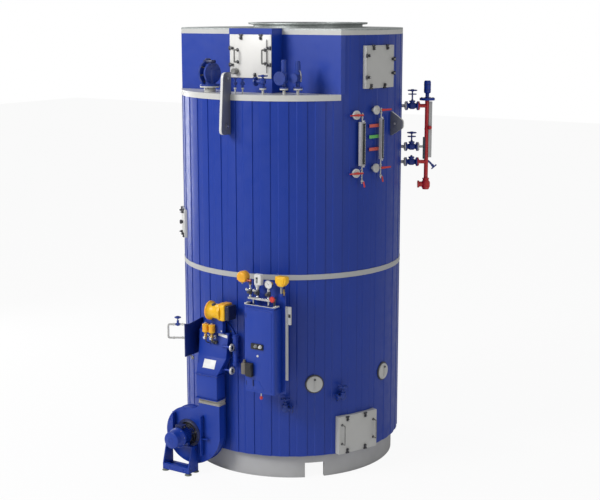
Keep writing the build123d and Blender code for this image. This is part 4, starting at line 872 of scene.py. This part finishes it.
for x, y in ((-0.048, 0.034), (0.048, 0.034), (-0.036, -0.028), (0.036, -0.028)):
    heads.turn(yellow, [(0.006, 0.064), (0.006, 0.069), (0.003, 0.0695), (0.003, 0.067), (0, 0.067)], orangePlastic,
               20, at=(x, y, 0))
post = upPlane(0.690, -1.258, 2.005)
heads.turn(post, [(0.010, 0), (0.010, 0.060), (0.016, 0.062), (0.016, 0.076), (0.012, 0.080), (0, 0.082)], greyPlastic,
           24)
heads.box(upPlane(0.690, -1.247, 1.994), (0.028, 0.050, 0.028), boxBlue, 0.003)
heads.make(replaces=["instruments"], slot="instruments")
print("cabinet done")

# Damper actuator on its saddle, and two solenoid valves
actuatorPlan = {"left": -0.172, "front": -1.263, "height": 1.735, "solenoids": (-0.238, -0.160)}
left, front, middle = actuatorPlan["left"], actuatorPlan["front"], actuatorPlan["height"]
actuators = Build("burnerActuators")
drum = along((left, front, middle), (1.0, front, middle))
actuators.turn(drum, [(0.089, 0), (0.096, 0.005), (0.097, 0.010), (0.097, 0.020), (0.093, 0.024)], orangePlastic, 48)
actuators.turn(drum, [(0.092, 0.023), (0.080, 0.036), (0.074, 0.056), (0.073, 0.080), (0.075, 0.104), (0.082, 0.128),
                      (0.090, 0.144), (0.094, 0.150), (0.094, 0.176), (0, 0.176)], yellowPlastic, 48)
for index in range(6):
    angle = radians(30 + 60 * index)
    y, z = front + 0.080 * cos(angle), middle + 0.080 * sin(angle)
    actuators.bolt(along((left, y, z), (-1, y, z)), 0, 0, 0.006, brightSteel)
    actuators.bolt(along((-0.149, y, z), (1, y, z)), 0, 0, 0.005, orangePlastic)
actuators.turn(upPlane(-0.100, -1.282, 1.792), [(0.026, 0), (0.026, 0.012), (0.020, 0.018), (0.012, 0.024),
                                                (0, 0.024)], darkSteel, 28)
actuators.box(upPlane(0.030, front, 1.742), (0.058, 0.146, 0.162), yellowPlastic, 0.012, 3)
actuators.box(upPlane(0.020, -1.258, 1.822), (0.076, 0.130, 0.010), orangePlastic, 0.004, 2)
box = upPlane(0.084, -1.262, 1.740)
actuators.box(box, (0.050, 0.128, 0.144), blackBlue, 0.008, 3)
actuators.box(box, (0.052, 0.130, 0.006), blackBlue, 0.002, at=(0, 0, 0.034))
for z in (-0.056, 0.014):
    actuators.bolt(frontPlane(0.088, -1.326, 1.744 + z), 0, 0, 0.005, darkSteel)
saddle = frontPlane(-0.113, -1.195, 1.505)
actuators.sheet(saddle, [(-0.095, 0), (0.095, 0), (0.095, 0.120), (0.075, 0.190), (0.040, 0.170), (0, 0.162),
                         (-0.040, 0.170),
                         (-0.075, 0.190), (-0.095, 0.120)], 0.0, 0.060, deviceBlue, 0.004)
for x in (-0.080, 0.080):
    actuators.bolt(frontPlane(-0.113 + x, -1.255, 1.530), 0, 0, 0.006, brightSteel)
for left in actuatorPlan["solenoids"]:
    x = left + 0.031
    actuators.box(upPlane(x, -1.287, 1.548), (0.060, 0.060, 0.092), orangePlastic, 0.022, 5)
    actuators.turn(upPlane(x, -1.287, 1.514), [(0.033, 0), (0.034, 0.002), (0.034, 0.010), (0.033, 0.012)],
                   yellowPlastic, 40)
    actuators.turn(upPlane(x, -1.287, 1.600), [(0.011, -0.002), (0.011, 0.006), (0.006, 0.010), (0, 0.010)],
                   brightSteel, 6)
    actuators.turn(upPlane(x, -1.287, 1.578), [(0.033, 0), (0.034, 0.002), (0.034, 0.010), (0.033, 0.012)],
                   yellowPlastic, 40)
    body = upPlane(x, -1.287, 1.433)
    actuators.turn(body, [(0.010, 0), (0.013, 0.004), (0.013, 0.020), (0.019, 0.026), (0.019, 0.044), (0.013, 0.050),
                          (0.013, 0.062),
                          (0.021, 0.064), (0.021, 0.068), (0, 0.068)], brass, 6)
    actuators.turn(along((x, -1.300, 1.454), (x, -1.19, 1.454)),
                   [(0.014, -0.016), (0.014, -0.004), (0.010, 0), (0.010, 0.085), (0, 0.085)],
                   brightSteel, 20)
    actuators.turn(along((x, -1.240, 1.454), (x, -1.19, 1.454)), rod(0.017, 0.016), brightSteel, 6)
    actuators.tube([(x, -1.287, 1.436), (x, -1.287, 1.415), (x + 0.006, -1.270, 1.395), (x + 0.012, -1.242, 1.388)],
                   0.006, darkSteel)
actuators.box(frontPlane(-0.128, -1.240, 1.405), (0.070, 0.030, 0.022), darkSteel, 0.004, at=(0, 0, 0.008))
actuators.make(replaces=["burner_actuators"], slot="burner_actuators")

# Duct, sloping hood and head in bevelled plate, with lips, nuts and sight glasses
# Each level: height, left, right, front, back
hoodPlan = {
    "duct": [(0.812, -0.302, -0.046, -1.330, -1.188), (1.080, -0.302, -0.046, -1.330, -1.188)],
    "hood": [(1.078, -0.303, -0.045, -1.330, -1.186), (1.248, -0.328, 0.018, -1.254, -1.170),
             (1.505, -0.332, 0.024, -1.215, -1.168)],
    "sights": (1.137, 1.377),
}
hood = Build("burnerHood")


def hoodPart(levels, material=boxBlue, bevel=0.003):
    part = bmesh.new()
    loops = [[part.verts.new((x, y, height)) for x, y in ((left, front), (right, front), (right, back), (left, back))]
             for height, left, right, front, back in levels]
    for first, second in zip(loops, loops[1:]):
        for index in range(4):
            after = (index + 1) % 4
            part.faces.new((first[index], first[after], second[after], second[index]))
    part.faces.new(loops[0])
    part.faces.new(loops[-1])
    bmesh.ops.recalc_face_normals(part, faces=part.faces)
    bmesh.ops.bevel(part, geom=part.edges[:], offset=bevel, segments=2, affect="EDGES", profile=0.5)
    hood.add(part, material)


hoodPart(hoodPlan["duct"])
hoodPart(hoodPlan["hood"])
for low, high in ((0.812, 0.820), (1.070, 1.080)):
    hoodPart([(low, -0.314, -0.034, -1.342, -1.180), (high, -0.314, -0.034, -1.342, -1.180)], bevel=0.0015)
hoodPart([(1.496, -0.338, 0.030, -1.222, -1.166), (1.506, -0.338, 0.030, -1.222, -1.166)], bevel=0.0015)
slope = Matrix.Rotation(radians(-24.2), 4, "X")
label = frontPlane(-0.166, -1.2862, 1.178) @ slope
hood.box(label, (0.146, 0.092, 0.0016), labelWhite, 0.0005, at=(0, 0, 0.0006))
for x in (-0.068, 0.068):
    for y in (-0.040, 0.040):
        hood.turn(label, [(0.0028, 0.001), (0.0024, 0.0024), (0, 0.0026)], brightSteel, 12, at=(x, y, 0))
hood.box(frontPlane(-0.040, -1.2215, 1.480) @ Matrix.Rotation(radians(-9), 4, "Z"), (0.112, 0.032, 0.008), labelWhite,
         0.003)
for index in range(6):
    x = -0.298 + 0.0496 * index
    for height, high in ((1.070, -0.005), (0.820, 0.005)):
        hood.turn(upPlane(x, -1.336, height), rod(0.0045, high), darkSteel, 6)
for y in (-1.33, -1.283, -1.236, -1.19):
    for height, high in ((1.070, -0.005), (0.820, 0.005)):
        hood.turn(upPlane(-0.040, y, height), rod(0.0045, high), darkSteel, 6)
for height in hoodPlan["sights"]:
    sight = along((-0.030, -1.248, height), (1.0, -1.248, height))
    hood.turn(sight, [(0.012, 0), (0.012, 0.102), (0.020, 0.104), (0.020, 0.110)], boxBlue, 28)
    hood.turn(sight, [(0.036, 0.108), (0.039, 0.111), (0.039, 0.124), (0.034, 0.129), (0.022, 0.129), (0.020, 0.125),
                      (0, 0.125)],
              capGrey, 40)
    hood.turn(sight, [(0.019, 0.1252), (0.010, 0.1275), (0, 0.128)], glassDark, 32)
    for index in range(4):
        angle = pi / 4 + pi / 2 * index
        hood.bolt(sight, 0.029 * cos(angle), 0.029 * sin(angle), 0.003, darkSteel, z=0.129)
for height in (1.268, 1.340, 1.420):
    for x in (-0.318, 0.008):
        hood.bolt(frontPlane(x, -1.254 + 0.039 * (height - 1.248) / 0.257, height), 0, 0, 0.0035, deviceBlue)
hood.turn(frontPlane(-0.345, -1.322, 1.226), [(0.016, 0), (0.016, 0.012), (0.010, 0.016), (0.010, 0.022), (0, 0.022)],
          handleGrey, 20)
hood.tube([(-0.345, -1.322, 1.226), (-0.345, -1.310, 1.226), (-0.352, -1.300, 1.228), (-0.372, -1.300, 1.232),
           (-0.402, -1.300, 1.238)],
          0.007, handleGrey)
hood.make(replaces=["burner_casing"], slot="burner_casing")

# Riser between the hood and the cabinet, on two clips from the cladding
riserPlan = {"x": 0.098, "y": -1.196, "radius": 0.028, "low": 1.180, "high": 1.500}
riser = Build("riserDrum")
drumSpot = upPlane(riserPlan["x"], riserPlan["y"], 0)
riser.turn(drumSpot, rod(riserPlan["radius"], riserPlan["high"], riserPlan["low"]), deviceBlue, 32)
for height in (1.200, 1.330, 1.470):
    riser.ringed(drumSpot, band(riserPlan["radius"], 0.036, height, height + 0.014), deviceBlue, 32)
for height in (1.240, 1.440):
    riser.box(upPlane(riserPlan["x"], -1.168, height), (0.030, 0.060, 0.024), deviceBlue, 0.003, 2)
riser.make()
print("burner done")

# Mouthpiece rims and nuts
mouthPlan = {"centre": (-0.154, -1.150, 1.405), "nuts": 16, "pitchRadius": 0.206}
mouth = Build("mouthRims")
register = frontPlane(*mouthPlan["centre"])
mouth.ringed(register, [(0.2325, -0.001), (0.2365, 0.001), (0.2365, 0.013), (0.2325, 0.0155)], deviceBlue, 64)
mouth.ringed(register, band(0.1755, 0.1855, -0.060, -0.050), darkBlue, 64)
boltRing(mouth, register, mouthPlan["pitchRadius"], mouthPlan["nuts"], 0.008, darkSteel, 0.0145, 11.25)
mouth.make()

# Upright plate beside the head, with the oil loop and its valve
platePlan = {"x": -0.406, "half": 0.006,
             "outline": [(-1.373, 1.236), (-1.072, 1.236), (-1.072, 1.592), (-1.300, 1.566), (-1.373, 1.582)]}
panel = Build("sidePanel")
panelSide = plane((platePlan["x"], 0, 0), (0, 1, 0), (1, 0, 0))
# painted shade: the plate and its nuts get the darkened copy of the blue paint for their shaded face
panel.sheet(panelSide, platePlan["outline"], -platePlan["half"], platePlan["half"], shadedPlateBlue, 0.002)
for y in (-1.340, -1.220, -1.110):
    for height in (1.256, 1.548):
        panel.bolt(plane((-0.400, y, height), (0, 1, 0), (1, 0, 0)), 0, 0, 0.006, shadedPlateBlue)
panel.make(replaces=["side_plate"], slot="side_plate")
loopPlan = {"start": (-0.442, -1.369, 0), "reach": 0.140, "low": 1.432, "high": 1.572}
loop = Build("oilLoop")
loopStart = Vector(loopPlan["start"])
loopWay = -rightOf(viewBearing)
loopEnd = loopStart + loopWay * loopPlan["reach"]
up = Vector((0, 0, 1))
low, high = loopPlan["low"], loopPlan["high"]
loop.tube([(-0.412, -1.360, low), loopStart + up * low, loopStart + loopWay * 0.10 + up * low,
           loopEnd + up * low, loopEnd + up * (low + 0.030), loopEnd + up * (high - 0.030), loopEnd + up * high,
           loopStart + loopWay * 0.10 + up * high, loopStart + up * high,
           (-0.412, -1.360, high)], 0.010, capGrey, 16, 8)
for height in (low, high):
    for reach in (-0.010, 0.078):
        spot = loopStart + loopWay * reach + up * height
        loop.turn(along(spot, spot + loopWay), [(0.012, 0), (0.0140, 0.002), (0.0140, 0.010), (0.012, 0.012)], capGrey,
                  6)
valve = loopStart + loopWay * 0.042
loop.turn(upPlane(valve.x, valve.y, 0), [
    (0.010, 1.556), (0.015, 1.560), (0.015, 1.586), (0.011, 1.590), (0.011, 1.600), (0.013, 1.602), (0.013, 1.610),
    (0.008, 1.614), (0.006, 1.616), (0.006, 1.640), (0, 1.640)], valveBlue, 24)
spot = valve + up * high
loop.turn(along(spot - loopWay * 0.024, spot), [(0.013, 0), (0.013, 0.008), (0.011, 0.010), (0.011, 0.038),
                                                (0.013, 0.040),
                                                 (0.013, 0.048)], valveBlue, 6)
loop.make(replaces=["oil_loop"], slot="oil_loop")

# Fan motor: fins, flange, end shield, terminal box and a wire guard before the inlet
fanPlan = {"centre": (-0.446, -1.290, 0.398), "fins": 30, "blades": 9,
           "guardRings": (0.118, 0.100, 0.082, 0.064, 0.046)}
fanSpot = frontPlane(*fanPlan["centre"])
motor = Build("fanMotor")
motor.turn(fanSpot, [
    (0.034, -0.100), (0.034, 0.046), (0.070, 0.048), (0.080, 0.056), (0.084, 0.070), (0.084, 0.150), (0.092, 0.152),
    (0.092, 0.166), (0.101, 0.168), (0.104, 0.172), (0.104, 0.188), (0.101, 0.194), (0.096, 0.208), (0.0905, 0.228),
    (0.0885, 0.234), (0.0885, 0.280), (0.086, 0.287), (0.078, 0.292), (0, 0.2925)], deviceBlue, 56)
for index in range(fanPlan["fins"]):
    angle = 2 * pi * index / fanPlan["fins"]
    motor.box(fanSpot @ Matrix.Rotation(angle, 4, "Z"), (0.014, 0.0035, 0.104), deviceBlue, 0.0008, 1,
              (0.086, 0, 0.113))
for index in range(8):
    angle = 2 * pi * index / 8 + 0.2
    motor.bolt(fanSpot, 0.0975 * cos(angle), 0.0975 * sin(angle), 0.0042, capGrey, z=0.193)
motor.ringed(fanSpot, [(0.030, 0.291), (0.030, 0.2945), (0.026, 0.2945), (0.026, 0.291)], deviceBlue, 32)
motor.box(fanSpot, (0.084, 0.036, 0.076), darkBlue, 0.006, 3, (0, 0.104, 0.128))
motor.box(fanSpot, (0.088, 0.006, 0.080), darkBlue, 0.002, 2, (0, 0.121, 0.128))
motor.turn(fanSpot @ Matrix.Rotation(radians(90), 4, "Y"),
           [(0.011, 0.040), (0.011, 0.052), (0.008, 0.054), (0.008, 0.060), (0, 0.060)],
           darkSteel, 16, at=(-0.128, 0.106, 0))
for radius in fanPlan["guardRings"]:
    depth = 0.014 + (0.118 - radius) * 0.38
    motor.ringed(fanSpot, [(radius + 0.0022, depth), (radius, depth + 0.0022), (radius - 0.0022, depth),
                           (radius, depth - 0.0022)],
                 darkSteel, 48)
for index in range(6):
    spot = fanSpot @ Matrix.Rotation(pi * index / 3 + 0.3, 4, "Z")
    motor.tube([spot @ Vector((0.036, 0, 0.046)), spot @ Vector((0.080, 0, 0.030)), spot @ Vector((0.124, 0, 0.012))],
               0.0028, darkSteel, 8, 2)
motor.make(replaces=["fan_motor"], slot="fan_motor")

# Fan face: dark inlet ring, stiffening bars, nuts round the rim, clips of the inlet
fanTrim = Build("fanTrim")
fanTrim.ringed(fanSpot, [(0.1185, 0.0), (0.1185, 0.010), (0.122, 0.012), (0.128, 0.008), (0.148, 0.004), (0.150, 0.0)],
               darkBlue, 64)
# painted shade: a dark navy cone deep in the inlet stands for its shaded inside
fanTrim.ringed(fanSpot, [(0.116, -0.088), (0.116, -0.084), (0.036, -0.060), (0.036, -0.088)], seamAndShadeNavy, 40)
for index in range(fanPlan["blades"]):
    spot = fanSpot @ Matrix.Rotation(2 * pi * index / fanPlan["blades"], 4, "Z") @ Matrix.Rotation(radians(32), 4, "X")
    fanTrim.box(spot, (0.072, 0.034, 0.003), darkSteel, 0.001, 1, (0.074, 0.024, -0.050))
for index in range(8):
    angle = pi / 8 + pi / 4 * index
    fanTrim.bolt(fanSpot, 0.137 * cos(angle), 0.137 * sin(angle), 0.006, darkSteel, z=0.006)
for x, low, high in ((-0.254, 0.196, 0.619), (-0.612, 0.262, 0.598)):
    fanTrim.box(frontPlane(x + 0.003, -1.290, (low + high) / 2), (0.006, high - low, 0.056), deviceBlue, 0.001, 2,
                (0, 0, 0.028))
    fanTrim.box(frontPlane(x - 0.016, -1.290, (low + high) / 2), (0.038, high - low, 0.006), deviceBlue, 0.001, 2,
                (0, 0, 0.004))
fanTrim.box(frontPlane(-0.212, -1.290, 0.381), (0.078, 0.006, 0.040), deviceBlue, 0.001, 2, (0, 0, 0.020))
for angle in (100, 128, 156, 184, 212, 240, 268, 296, 324):
    share = (angle - 78) / 282
    reach = 0.268 + 0.123 * share ** 3 - 0.012
    fanTrim.bolt(fanSpot, reach * cos(radians(angle)), reach * sin(radians(angle)), 0.005, deviceBlue)
for x in (-0.642, -0.348):
    for y in (-1.431, -1.309):
        foot = upPlane(x, y, 0)
        fanTrim.turn(foot, [(0.036, 0.0), (0.037, 0.003), (0.034, 0.008), (0.014, 0.0125), (0.009, 0.014)], footGrey,
                     28)
        fanTrim.turn(foot, [(0.0145, 0.013), (0.016, 0.0135), (0.016, 0.0175)], zinc, 6)
for x in (-0.580, -0.400):
    fanTrim.bolt(frontPlane(x, -1.450, 0.052), 0, 0, 0.005, deviceBlue)
for y in (-1.415, -1.330):
    for height in (0.050, 0.250):
        if y < -1.4 and height > 0.2:
            continue
        fanTrim.bolt(plane((-0.326, y, height), (0, 1, 0), (1, 0, 0)), 0, 0, 0.005, darkSteel)
fanTrim.make()

# Woven joint between the fan and the duct, held by flat bars
jointPlan = {"corner": 0.012, "thick": 0.0018, "left": -0.302, "right": -0.046, "front": -1.290, "back": -1.188}
jointCorner = jointPlan["corner"]
jointOutline = []
for side, end, turned in (("right", "back", 0), ("left", "back", 90), ("left", "front", 180), ("right", "front", 270)):
    inX = -jointCorner if side == "right" else jointCorner
    inY = -jointCorner if end == "back" else jointCorner
    for step in range(7):
        angle = radians(turned + 15 * step)
        jointOutline.append((jointPlan[side] + inX, jointPlan[end] + inY, cos(angle), sin(angle)))
rows = [(0.7484, -0.001), (0.752, -0.001), (0.757, 0.0), (0.763, 0.0055), (0.7685, 0.0070), (0.774, 0.0045),
        (0.780, -0.0015),
        (0.786, 0.0045), (0.7915, 0.0070), (0.797, 0.0055), (0.803, 0.0), (0.808, -0.001), (0.8116, -0.001)]
flexJoint = Build("flexJoint")
part = bmesh.new()
shells = []
for thick in (0.0, jointPlan["thick"]):
    for height, swell in rows if thick == 0.0 else rows[::-1]:
        shells.append([part.verts.new((
            x + (jointCorner + swell - thick) * outX, y + (jointCorner + swell - thick) * outY,
            height + 0.0006 * sin(9 * index + 40 * height))) for index, (x, y, outX, outY) in enumerate(jointOutline)])
for first, second in zip(shells, shells[1:] + shells[:1]):
    for index in range(len(first)):
        after = (index + 1) % len(first)
        part.faces.new((first[index], first[after], second[after], second[index]))
flexJoint.add(part, beigeCloth)
jointPiece = flexJoint.make(replaces=["flexible_joint"], slot="flexible_joint", sharp=50)
bars = Build("jointBars")
for low, high in ((0.7484, 0.7580), (0.8020, 0.8116)):
    middle = (low + high) / 2
    for x0, x1, y0, y1 in ((-0.304, -0.044, -1.2945, -1.2895), (-0.304, -0.044, -1.1885, -1.1845),
                           (-0.3065, -0.3015, -1.290, -1.188), (-0.0465, -0.0415, -1.290, -1.188)):
        bars.box(upPlane((x0 + x1) / 2, (y0 + y1) / 2, middle), (x1 - x0, y1 - y0, high - low), clothBar, 0.0012)
    for index in range(6):
        bars.bolt(frontPlane(-0.290 + 0.0464 * index, -1.2945, middle), 0, 0, 0.0032, brightSteel)
    for y in (-1.272, -1.240, -1.208):
        bars.bolt(plane((-0.0415, y, middle), (0, 1, 0), (1, 0, 0)), 0, 0, 0.0032, brightSteel)
bars.make()
print("fan done")

# Framed glass columns of the sight gauges with their pipes and drains
columns = Build("gaugeColumns")
for gauge in gauges:
    bearing, top, low = gauge["bearing"], gauge["top"], gauge["low"]
    middle, wide, long = gauge["column"]
    base = facing(bearing, 1.200, (top + low) / 2)
    half = (top - low) / 2
    columns.box(base, (wide, long, 0.038), gaugePale, 0.003, 2, (middle, 0, 0))
    columns.box(base, (wide * 0.5, long + 0.030, 0.026), brightSteel, 0.002, 2, (middle + wide * 0.18, 0, 0))
    columns.turn(base @ Matrix.Rotation(radians(-90), 4, "X"), rod(0.0075, half + 0.020, -half - 0.108),
                 brightSteel, 20, (0.066, 0, 0))
    columns.turn(base @ Matrix.Rotation(radians(-90), 4, "X"), [
        (0.009, -half - 0.094), (0.0135, -half - 0.090), (0.0135, -half - 0.070), (0.009, -half - 0.066)],
        brightSteel, 20, (0.066, 0, 0))
    for sign in (1, -1):
        columns.turn(base @ Matrix.Rotation(radians(90), 4, "Y"), rod(0.0095, 0.066, 0.020), brightSteel, 20,
                     (0, sign * half, 0))
        columns.turn(base, [(0.008, -0.014), (0.015, -0.008), (0.0165, 0), (0.015, 0.008), (0.008, 0.014)],
                     brightSteel, 24,
                     (0.066, sign * half, 0))
        columns.turn(base @ Matrix.Rotation(radians(-90), 4, "X"), [
            (0.010, -0.008), (0.0125, -0.006), (0.0125, 0.006),
            (0.010, 0.008)], brightSteel, 6, (0.066, 0, sign * (half - 0.028)))
        if gauge["pins"]:
            columns.turn(base, rod(0.006, 0.032), brightSteel, 16, (0.066, sign * half, 0))
columns.make(replaces=["gauge_bodies"], slot="gauge_bodies")

# Blank coloured tags between the gauges
tagPlan = {"bearing": 78.2, "reach": 1.162, "size": (0.185, 0.032, 0.003),
           "rows": ((3.571, tagRed), (3.463, tagGreen), (3.340, tagRed))}
tags = Build("levelTags")
for height, tint in tagPlan["rows"]:
    base = facing(tagPlan["bearing"], tagPlan["reach"], height)
    tags.box(base, tagPlan["size"], tint, 0.001, 2, (0, 0, 0.0015))
    for x in (-0.084, 0.084):
        tags.turn(base, [(0.0035, 0.003), (0.003, 0.0042), (0, 0.0044)], brightSteel, 12, (x, 0, 0))
    tags.box(base, (0.040, 0.016, 0.024), darkSteel, 0.001, 1, (0, 0, -0.012))
tags.make(replaces=["level_signs"], slot="level_signs")

# Level pipe: flange nuts, indicator body, knob and the slanted drain with its bar
levelPlan = {"bearing": 122.0, "pipeReach": 1.418, "valveReach": 1.262, "valves": (3.706, 3.277, 3.116)}
levelBearing = levelPlan["bearing"]
levelTrim = Build("levelTrim")
unit = at(levelBearing, 1, 0)
for height in levelPlan["valves"]:
    for radius, sign in ((1.187, -1), (1.213, 1), (1.311, -1), (1.337, 1)):
        spot = at(levelBearing, radius, height)
        boltRing(levelTrim, along(spot, spot + unit * sign), 0.037, 4, 0.0062, darkSteel, 0, 45)
    spot = at(levelBearing, levelPlan["valveReach"], height)
    boltRing(levelTrim, upPlane(spot.x, spot.y, height + 0.052), 0.025, 4, 0.004, darkSteel, 0, 45)
pipeSpot = at(levelBearing, levelPlan["pipeReach"], 0)
screenRight = rightOf(viewBearing)
toEye = at(viewBearing, 1, 0)
spot = pipeSpot - screenRight * 0.020 + up * 3.262
levelTrim.box(plane(spot, screenRight, toEye), (0.034, 0.230, 0.036), slate, 0.004, 2)
for height in (3.150, 3.290):
    levelTrim.ringed(upPlane(pipeSpot.x, pipeSpot.y, height), band(0.0222, 0.0238, 0, 0.010),
                     redGloss, 24)
spot = pipeSpot + screenRight * 0.030 + up * 3.480
levelTrim.turn(along(spot, spot + toEye), [(0.008, 0), (0.008, 0.026), (0.019, 0.028), (0.020, 0.044), (0.014, 0.050),
                                           (0, 0.050)],
               redGloss, 24)
slant = Vector((0.30, 0.954, 0)).normalized()
start = pipeSpot + slant * 0.020 + up * 3.128
bend = start + slant * 0.080 - up * 0.060
levelTrim.tube([start, start + slant * 0.026 - up * 0.012, bend], 0.011, valveBlue, 16)
levelTrim.turn(along(bend, bend + slant * 0.08 - up * 0.06),
               [(0.013, -0.010), (0.015, -0.008), (0.015, 0.008), (0.008, 0.010),
                                                                (0.006, 0.026), (0, 0.026)], valveBlue, 20)
tip = bend + (slant * 0.8 - up * 0.6) * 0.026
levelTrim.tube([tip - slant * 0.034 - up * 0.018, tip, tip + slant * 0.034 + up * 0.018], 0.0075, valveBlue, 12, 2)
for height in (3.870, 3.925):
    levelTrim.ringed(upPlane(pipeSpot.x, pipeSpot.y, height),
                     [(0.0353, 0), (0.0375, 0.0005), (0.0375, 0.004), (0.0353, 0.0045)], darkBlue, 36)
boltRing(levelTrim, upPlane(pipeSpot.x, pipeSpot.y, 3.788), 0.064, 8, 0.006, darkSteel)
for height in (-0.250, 0, 0.250):
    levelTrim.ringed(upPlane(pipeSpot.x, pipeSpot.y, 3.457 + height), band(0.0222, 0.0245, 0, 0.012),
                     redGloss, 24)
levelTrim.make()

# Blow down valves with spoked wheels
blowPlan = {"valves": ((29.7, 0.775, 1), (57.5, 0.870, -1)), "rim": 0.0455, "spokes": 5}
rim = blowPlan["rim"]
blow = Build("blowDown")
for bearing, height, side in blowPlan["valves"]:
    base = facing(bearing, skinRadius, height)
    blow.turn(base, [(0.020, -0.020), (0.020, 0.022), (0.042, 0.0235), (0.042, 0.030), (0.0395, 0.0305),
                     (0.0395, 0.0315), (0.042, 0.032),
                     (0.042, 0.038), (0.020, 0.042), (0.020, 0.052), (0.030, 0.057), (0.034, 0.064), (0.034, 0.084),
                     (0.030, 0.091), (0.016, 0.098), (0, 0.100)], valveBlue, 40)
    boltRing(blow, base, 0.032, 4, 0.0055, darkSteel, 0.038, 45)
    arm = base @ Matrix.Translation((0, 0, 0.074)) @ Matrix.Rotation(radians(90 * side), 4, "Y")
    blow.turn(arm, [(0.018, 0), (0.018, 0.058), (0.038, 0.060), (0.038, 0.072), (0.015, 0.073), (0.013, 0.066),
                    (0, 0.066)],
              valveBlue, 36)
    boltRing(blow, arm, 0.028, 4, 0.005, darkSteel, 0.0725, 45)
    stem = base @ Matrix.Translation((0, 0, 0.074)) @ Matrix.Rotation(radians(-90), 4, "X")
    blow.turn(stem, [(0.024, 0), (0.024, 0.034), (0.028, 0.036), (0.028, 0.046), (0.013, 0.050), (0.013, 0.062),
                     (0.016, 0.064),
                     (0.016, 0.070), (0.006, 0.074), (0.006, 0.112), (0, 0.112)], valveBlue, 28)
    blow.turn(stem, [(0.012, 0.100), (0.013, 0.102), (0.013, 0.114), (0.011, 0.116)], valveBlue, 24)
    ring = [stem @ Vector((rim * cos(radians(30 * index)), rim * sin(radians(30 * index)), 0.108))
            for index in range(12)]
    blow.tube(ring, 0.0055, valveBlue, 12, 3, closed=True)
    for index in range(blowPlan["spokes"]):
        spot = stem @ Matrix.Rotation(radians(360 / blowPlan["spokes"] * index), 4, "Z")
        blow.tube([spot @ Vector((0.008, 0, 0.108)), spot @ Vector((0.028, 0, 0.110)),
                   spot @ Vector((0.046, 0, 0.108))], 0.004,
                  valveBlue, 8, 2)
blow.make(replaces=["blow_down_valves"], slot="blow_down_valves")
print("levels done")


# Camera, light and floor
cameraPlan = {"place": (7.126, -10.988, 4.689), "tilt": 79.07, "lens": 74.45}
camera = bpy.data.objects.new("camera", bpy.data.cameras.new("camera"))
camera.location = cameraPlan["place"]
camera.rotation_euler = (radians(cameraPlan["tilt"]), 0, radians(viewBearing))
camera.data.lens = cameraPlan["lens"]
camera.data.sensor_width = 36
camera.data.clip_end = 200
scene.collection.objects.link(camera)
scene.camera = camera


def areaLight(name, place, target, size, power, tint=(1, 1, 1), tall=None):
    light = bpy.data.lights.new(name, "AREA")
    light.energy = power
    light.color = tint
    light.size = size
    if tall:
        light.shape = "RECTANGLE"
        light.size_y = tall
    holder = bpy.data.objects.new(name, light)
    holder.location = place
    holder.rotation_euler = (Vector(target) - Vector(place)).to_track_quat("-Z", "Y").to_euler()
    scene.collection.objects.link(holder)


areaLight("keyLight", (-4.5, -10.0, 8.5), (0, 0, 2.4), 4.5, 900)
areaLight("sideLight", (9.0, -3.0, 5.0), (0, 0, 2.2), 4.0, 70)
areaLight("edgeLight", (-7.0, 1.0, 4.0), (0, 0, 2.4), 1.2, 150, tall=6.0)

world = bpy.data.worlds.new("world")
scene.world = world
world.use_nodes = True
worldTree = world.node_tree
backdrop = worldTree.nodes["Background"]
backdrop.inputs["Color"].default_value = (1, 1, 1, 1)
backdrop.inputs["Strength"].default_value = 0.40
seen = worldTree.nodes.new("ShaderNodeBackground")
seen.inputs["Color"].default_value = (1, 1, 1, 1)
seen.inputs["Strength"].default_value = 1.0
paths = worldTree.nodes.new("ShaderNodeLightPath")
choose = worldTree.nodes.new("ShaderNodeMixShader")
worldTree.links.new(paths.outputs["Is Camera Ray"], choose.inputs[0])
worldTree.links.new(backdrop.outputs[0], choose.inputs[1])
worldTree.links.new(seen.outputs[0], choose.inputs[2])
worldTree.links.new(choose.outputs[0], worldTree.nodes["World Output"].inputs["Surface"])

floorMesh = bpy.data.meshes.new("floor")
floorMesh.from_pydata([(-40, -40, 0), (40, -40, 0), (40, 40, 0), (-40, 40, 0)], [], [(0, 1, 2, 3)])
floor = bpy.data.objects.new("floor", floorMesh)
floor.location.z = -0.001
scene.collection.objects.link(floor)
floorPaint, floorTree, floorShader = newMaterial("floorPaint")
floorShader.inputs["Base Color"].default_value = (0.86, 0.86, 0.86, 1)
floorShader.inputs["Roughness"].default_value = 0.8
glow = floorTree.nodes.new("ShaderNodeEmission")
glow.inputs["Strength"].default_value = 1.0
floorPaths = floorTree.nodes.new("ShaderNodeLightPath")
share = floorTree.nodes.new("ShaderNodeMath")
share.operation = "MULTIPLY"
share.inputs[1].default_value = 0.93
floorTree.links.new(floorPaths.outputs["Is Camera Ray"], share.inputs[0])
blendFloor = floorTree.nodes.new("ShaderNodeMixShader")
floorTree.links.new(share.outputs[0], blendFloor.inputs[0])
floorTree.links.new(floorShader.outputs[0], blendFloor.inputs[1])
floorTree.links.new(glow.outputs[0], blendFloor.inputs[2])
floorTree.links.new(blendFloor.outputs[0], floorTree.nodes["Material Output"].inputs["Surface"])
floorMesh.materials.append(floorPaint)

scene.view_settings.view_transform = "Standard"
scene.view_settings.look = "None"
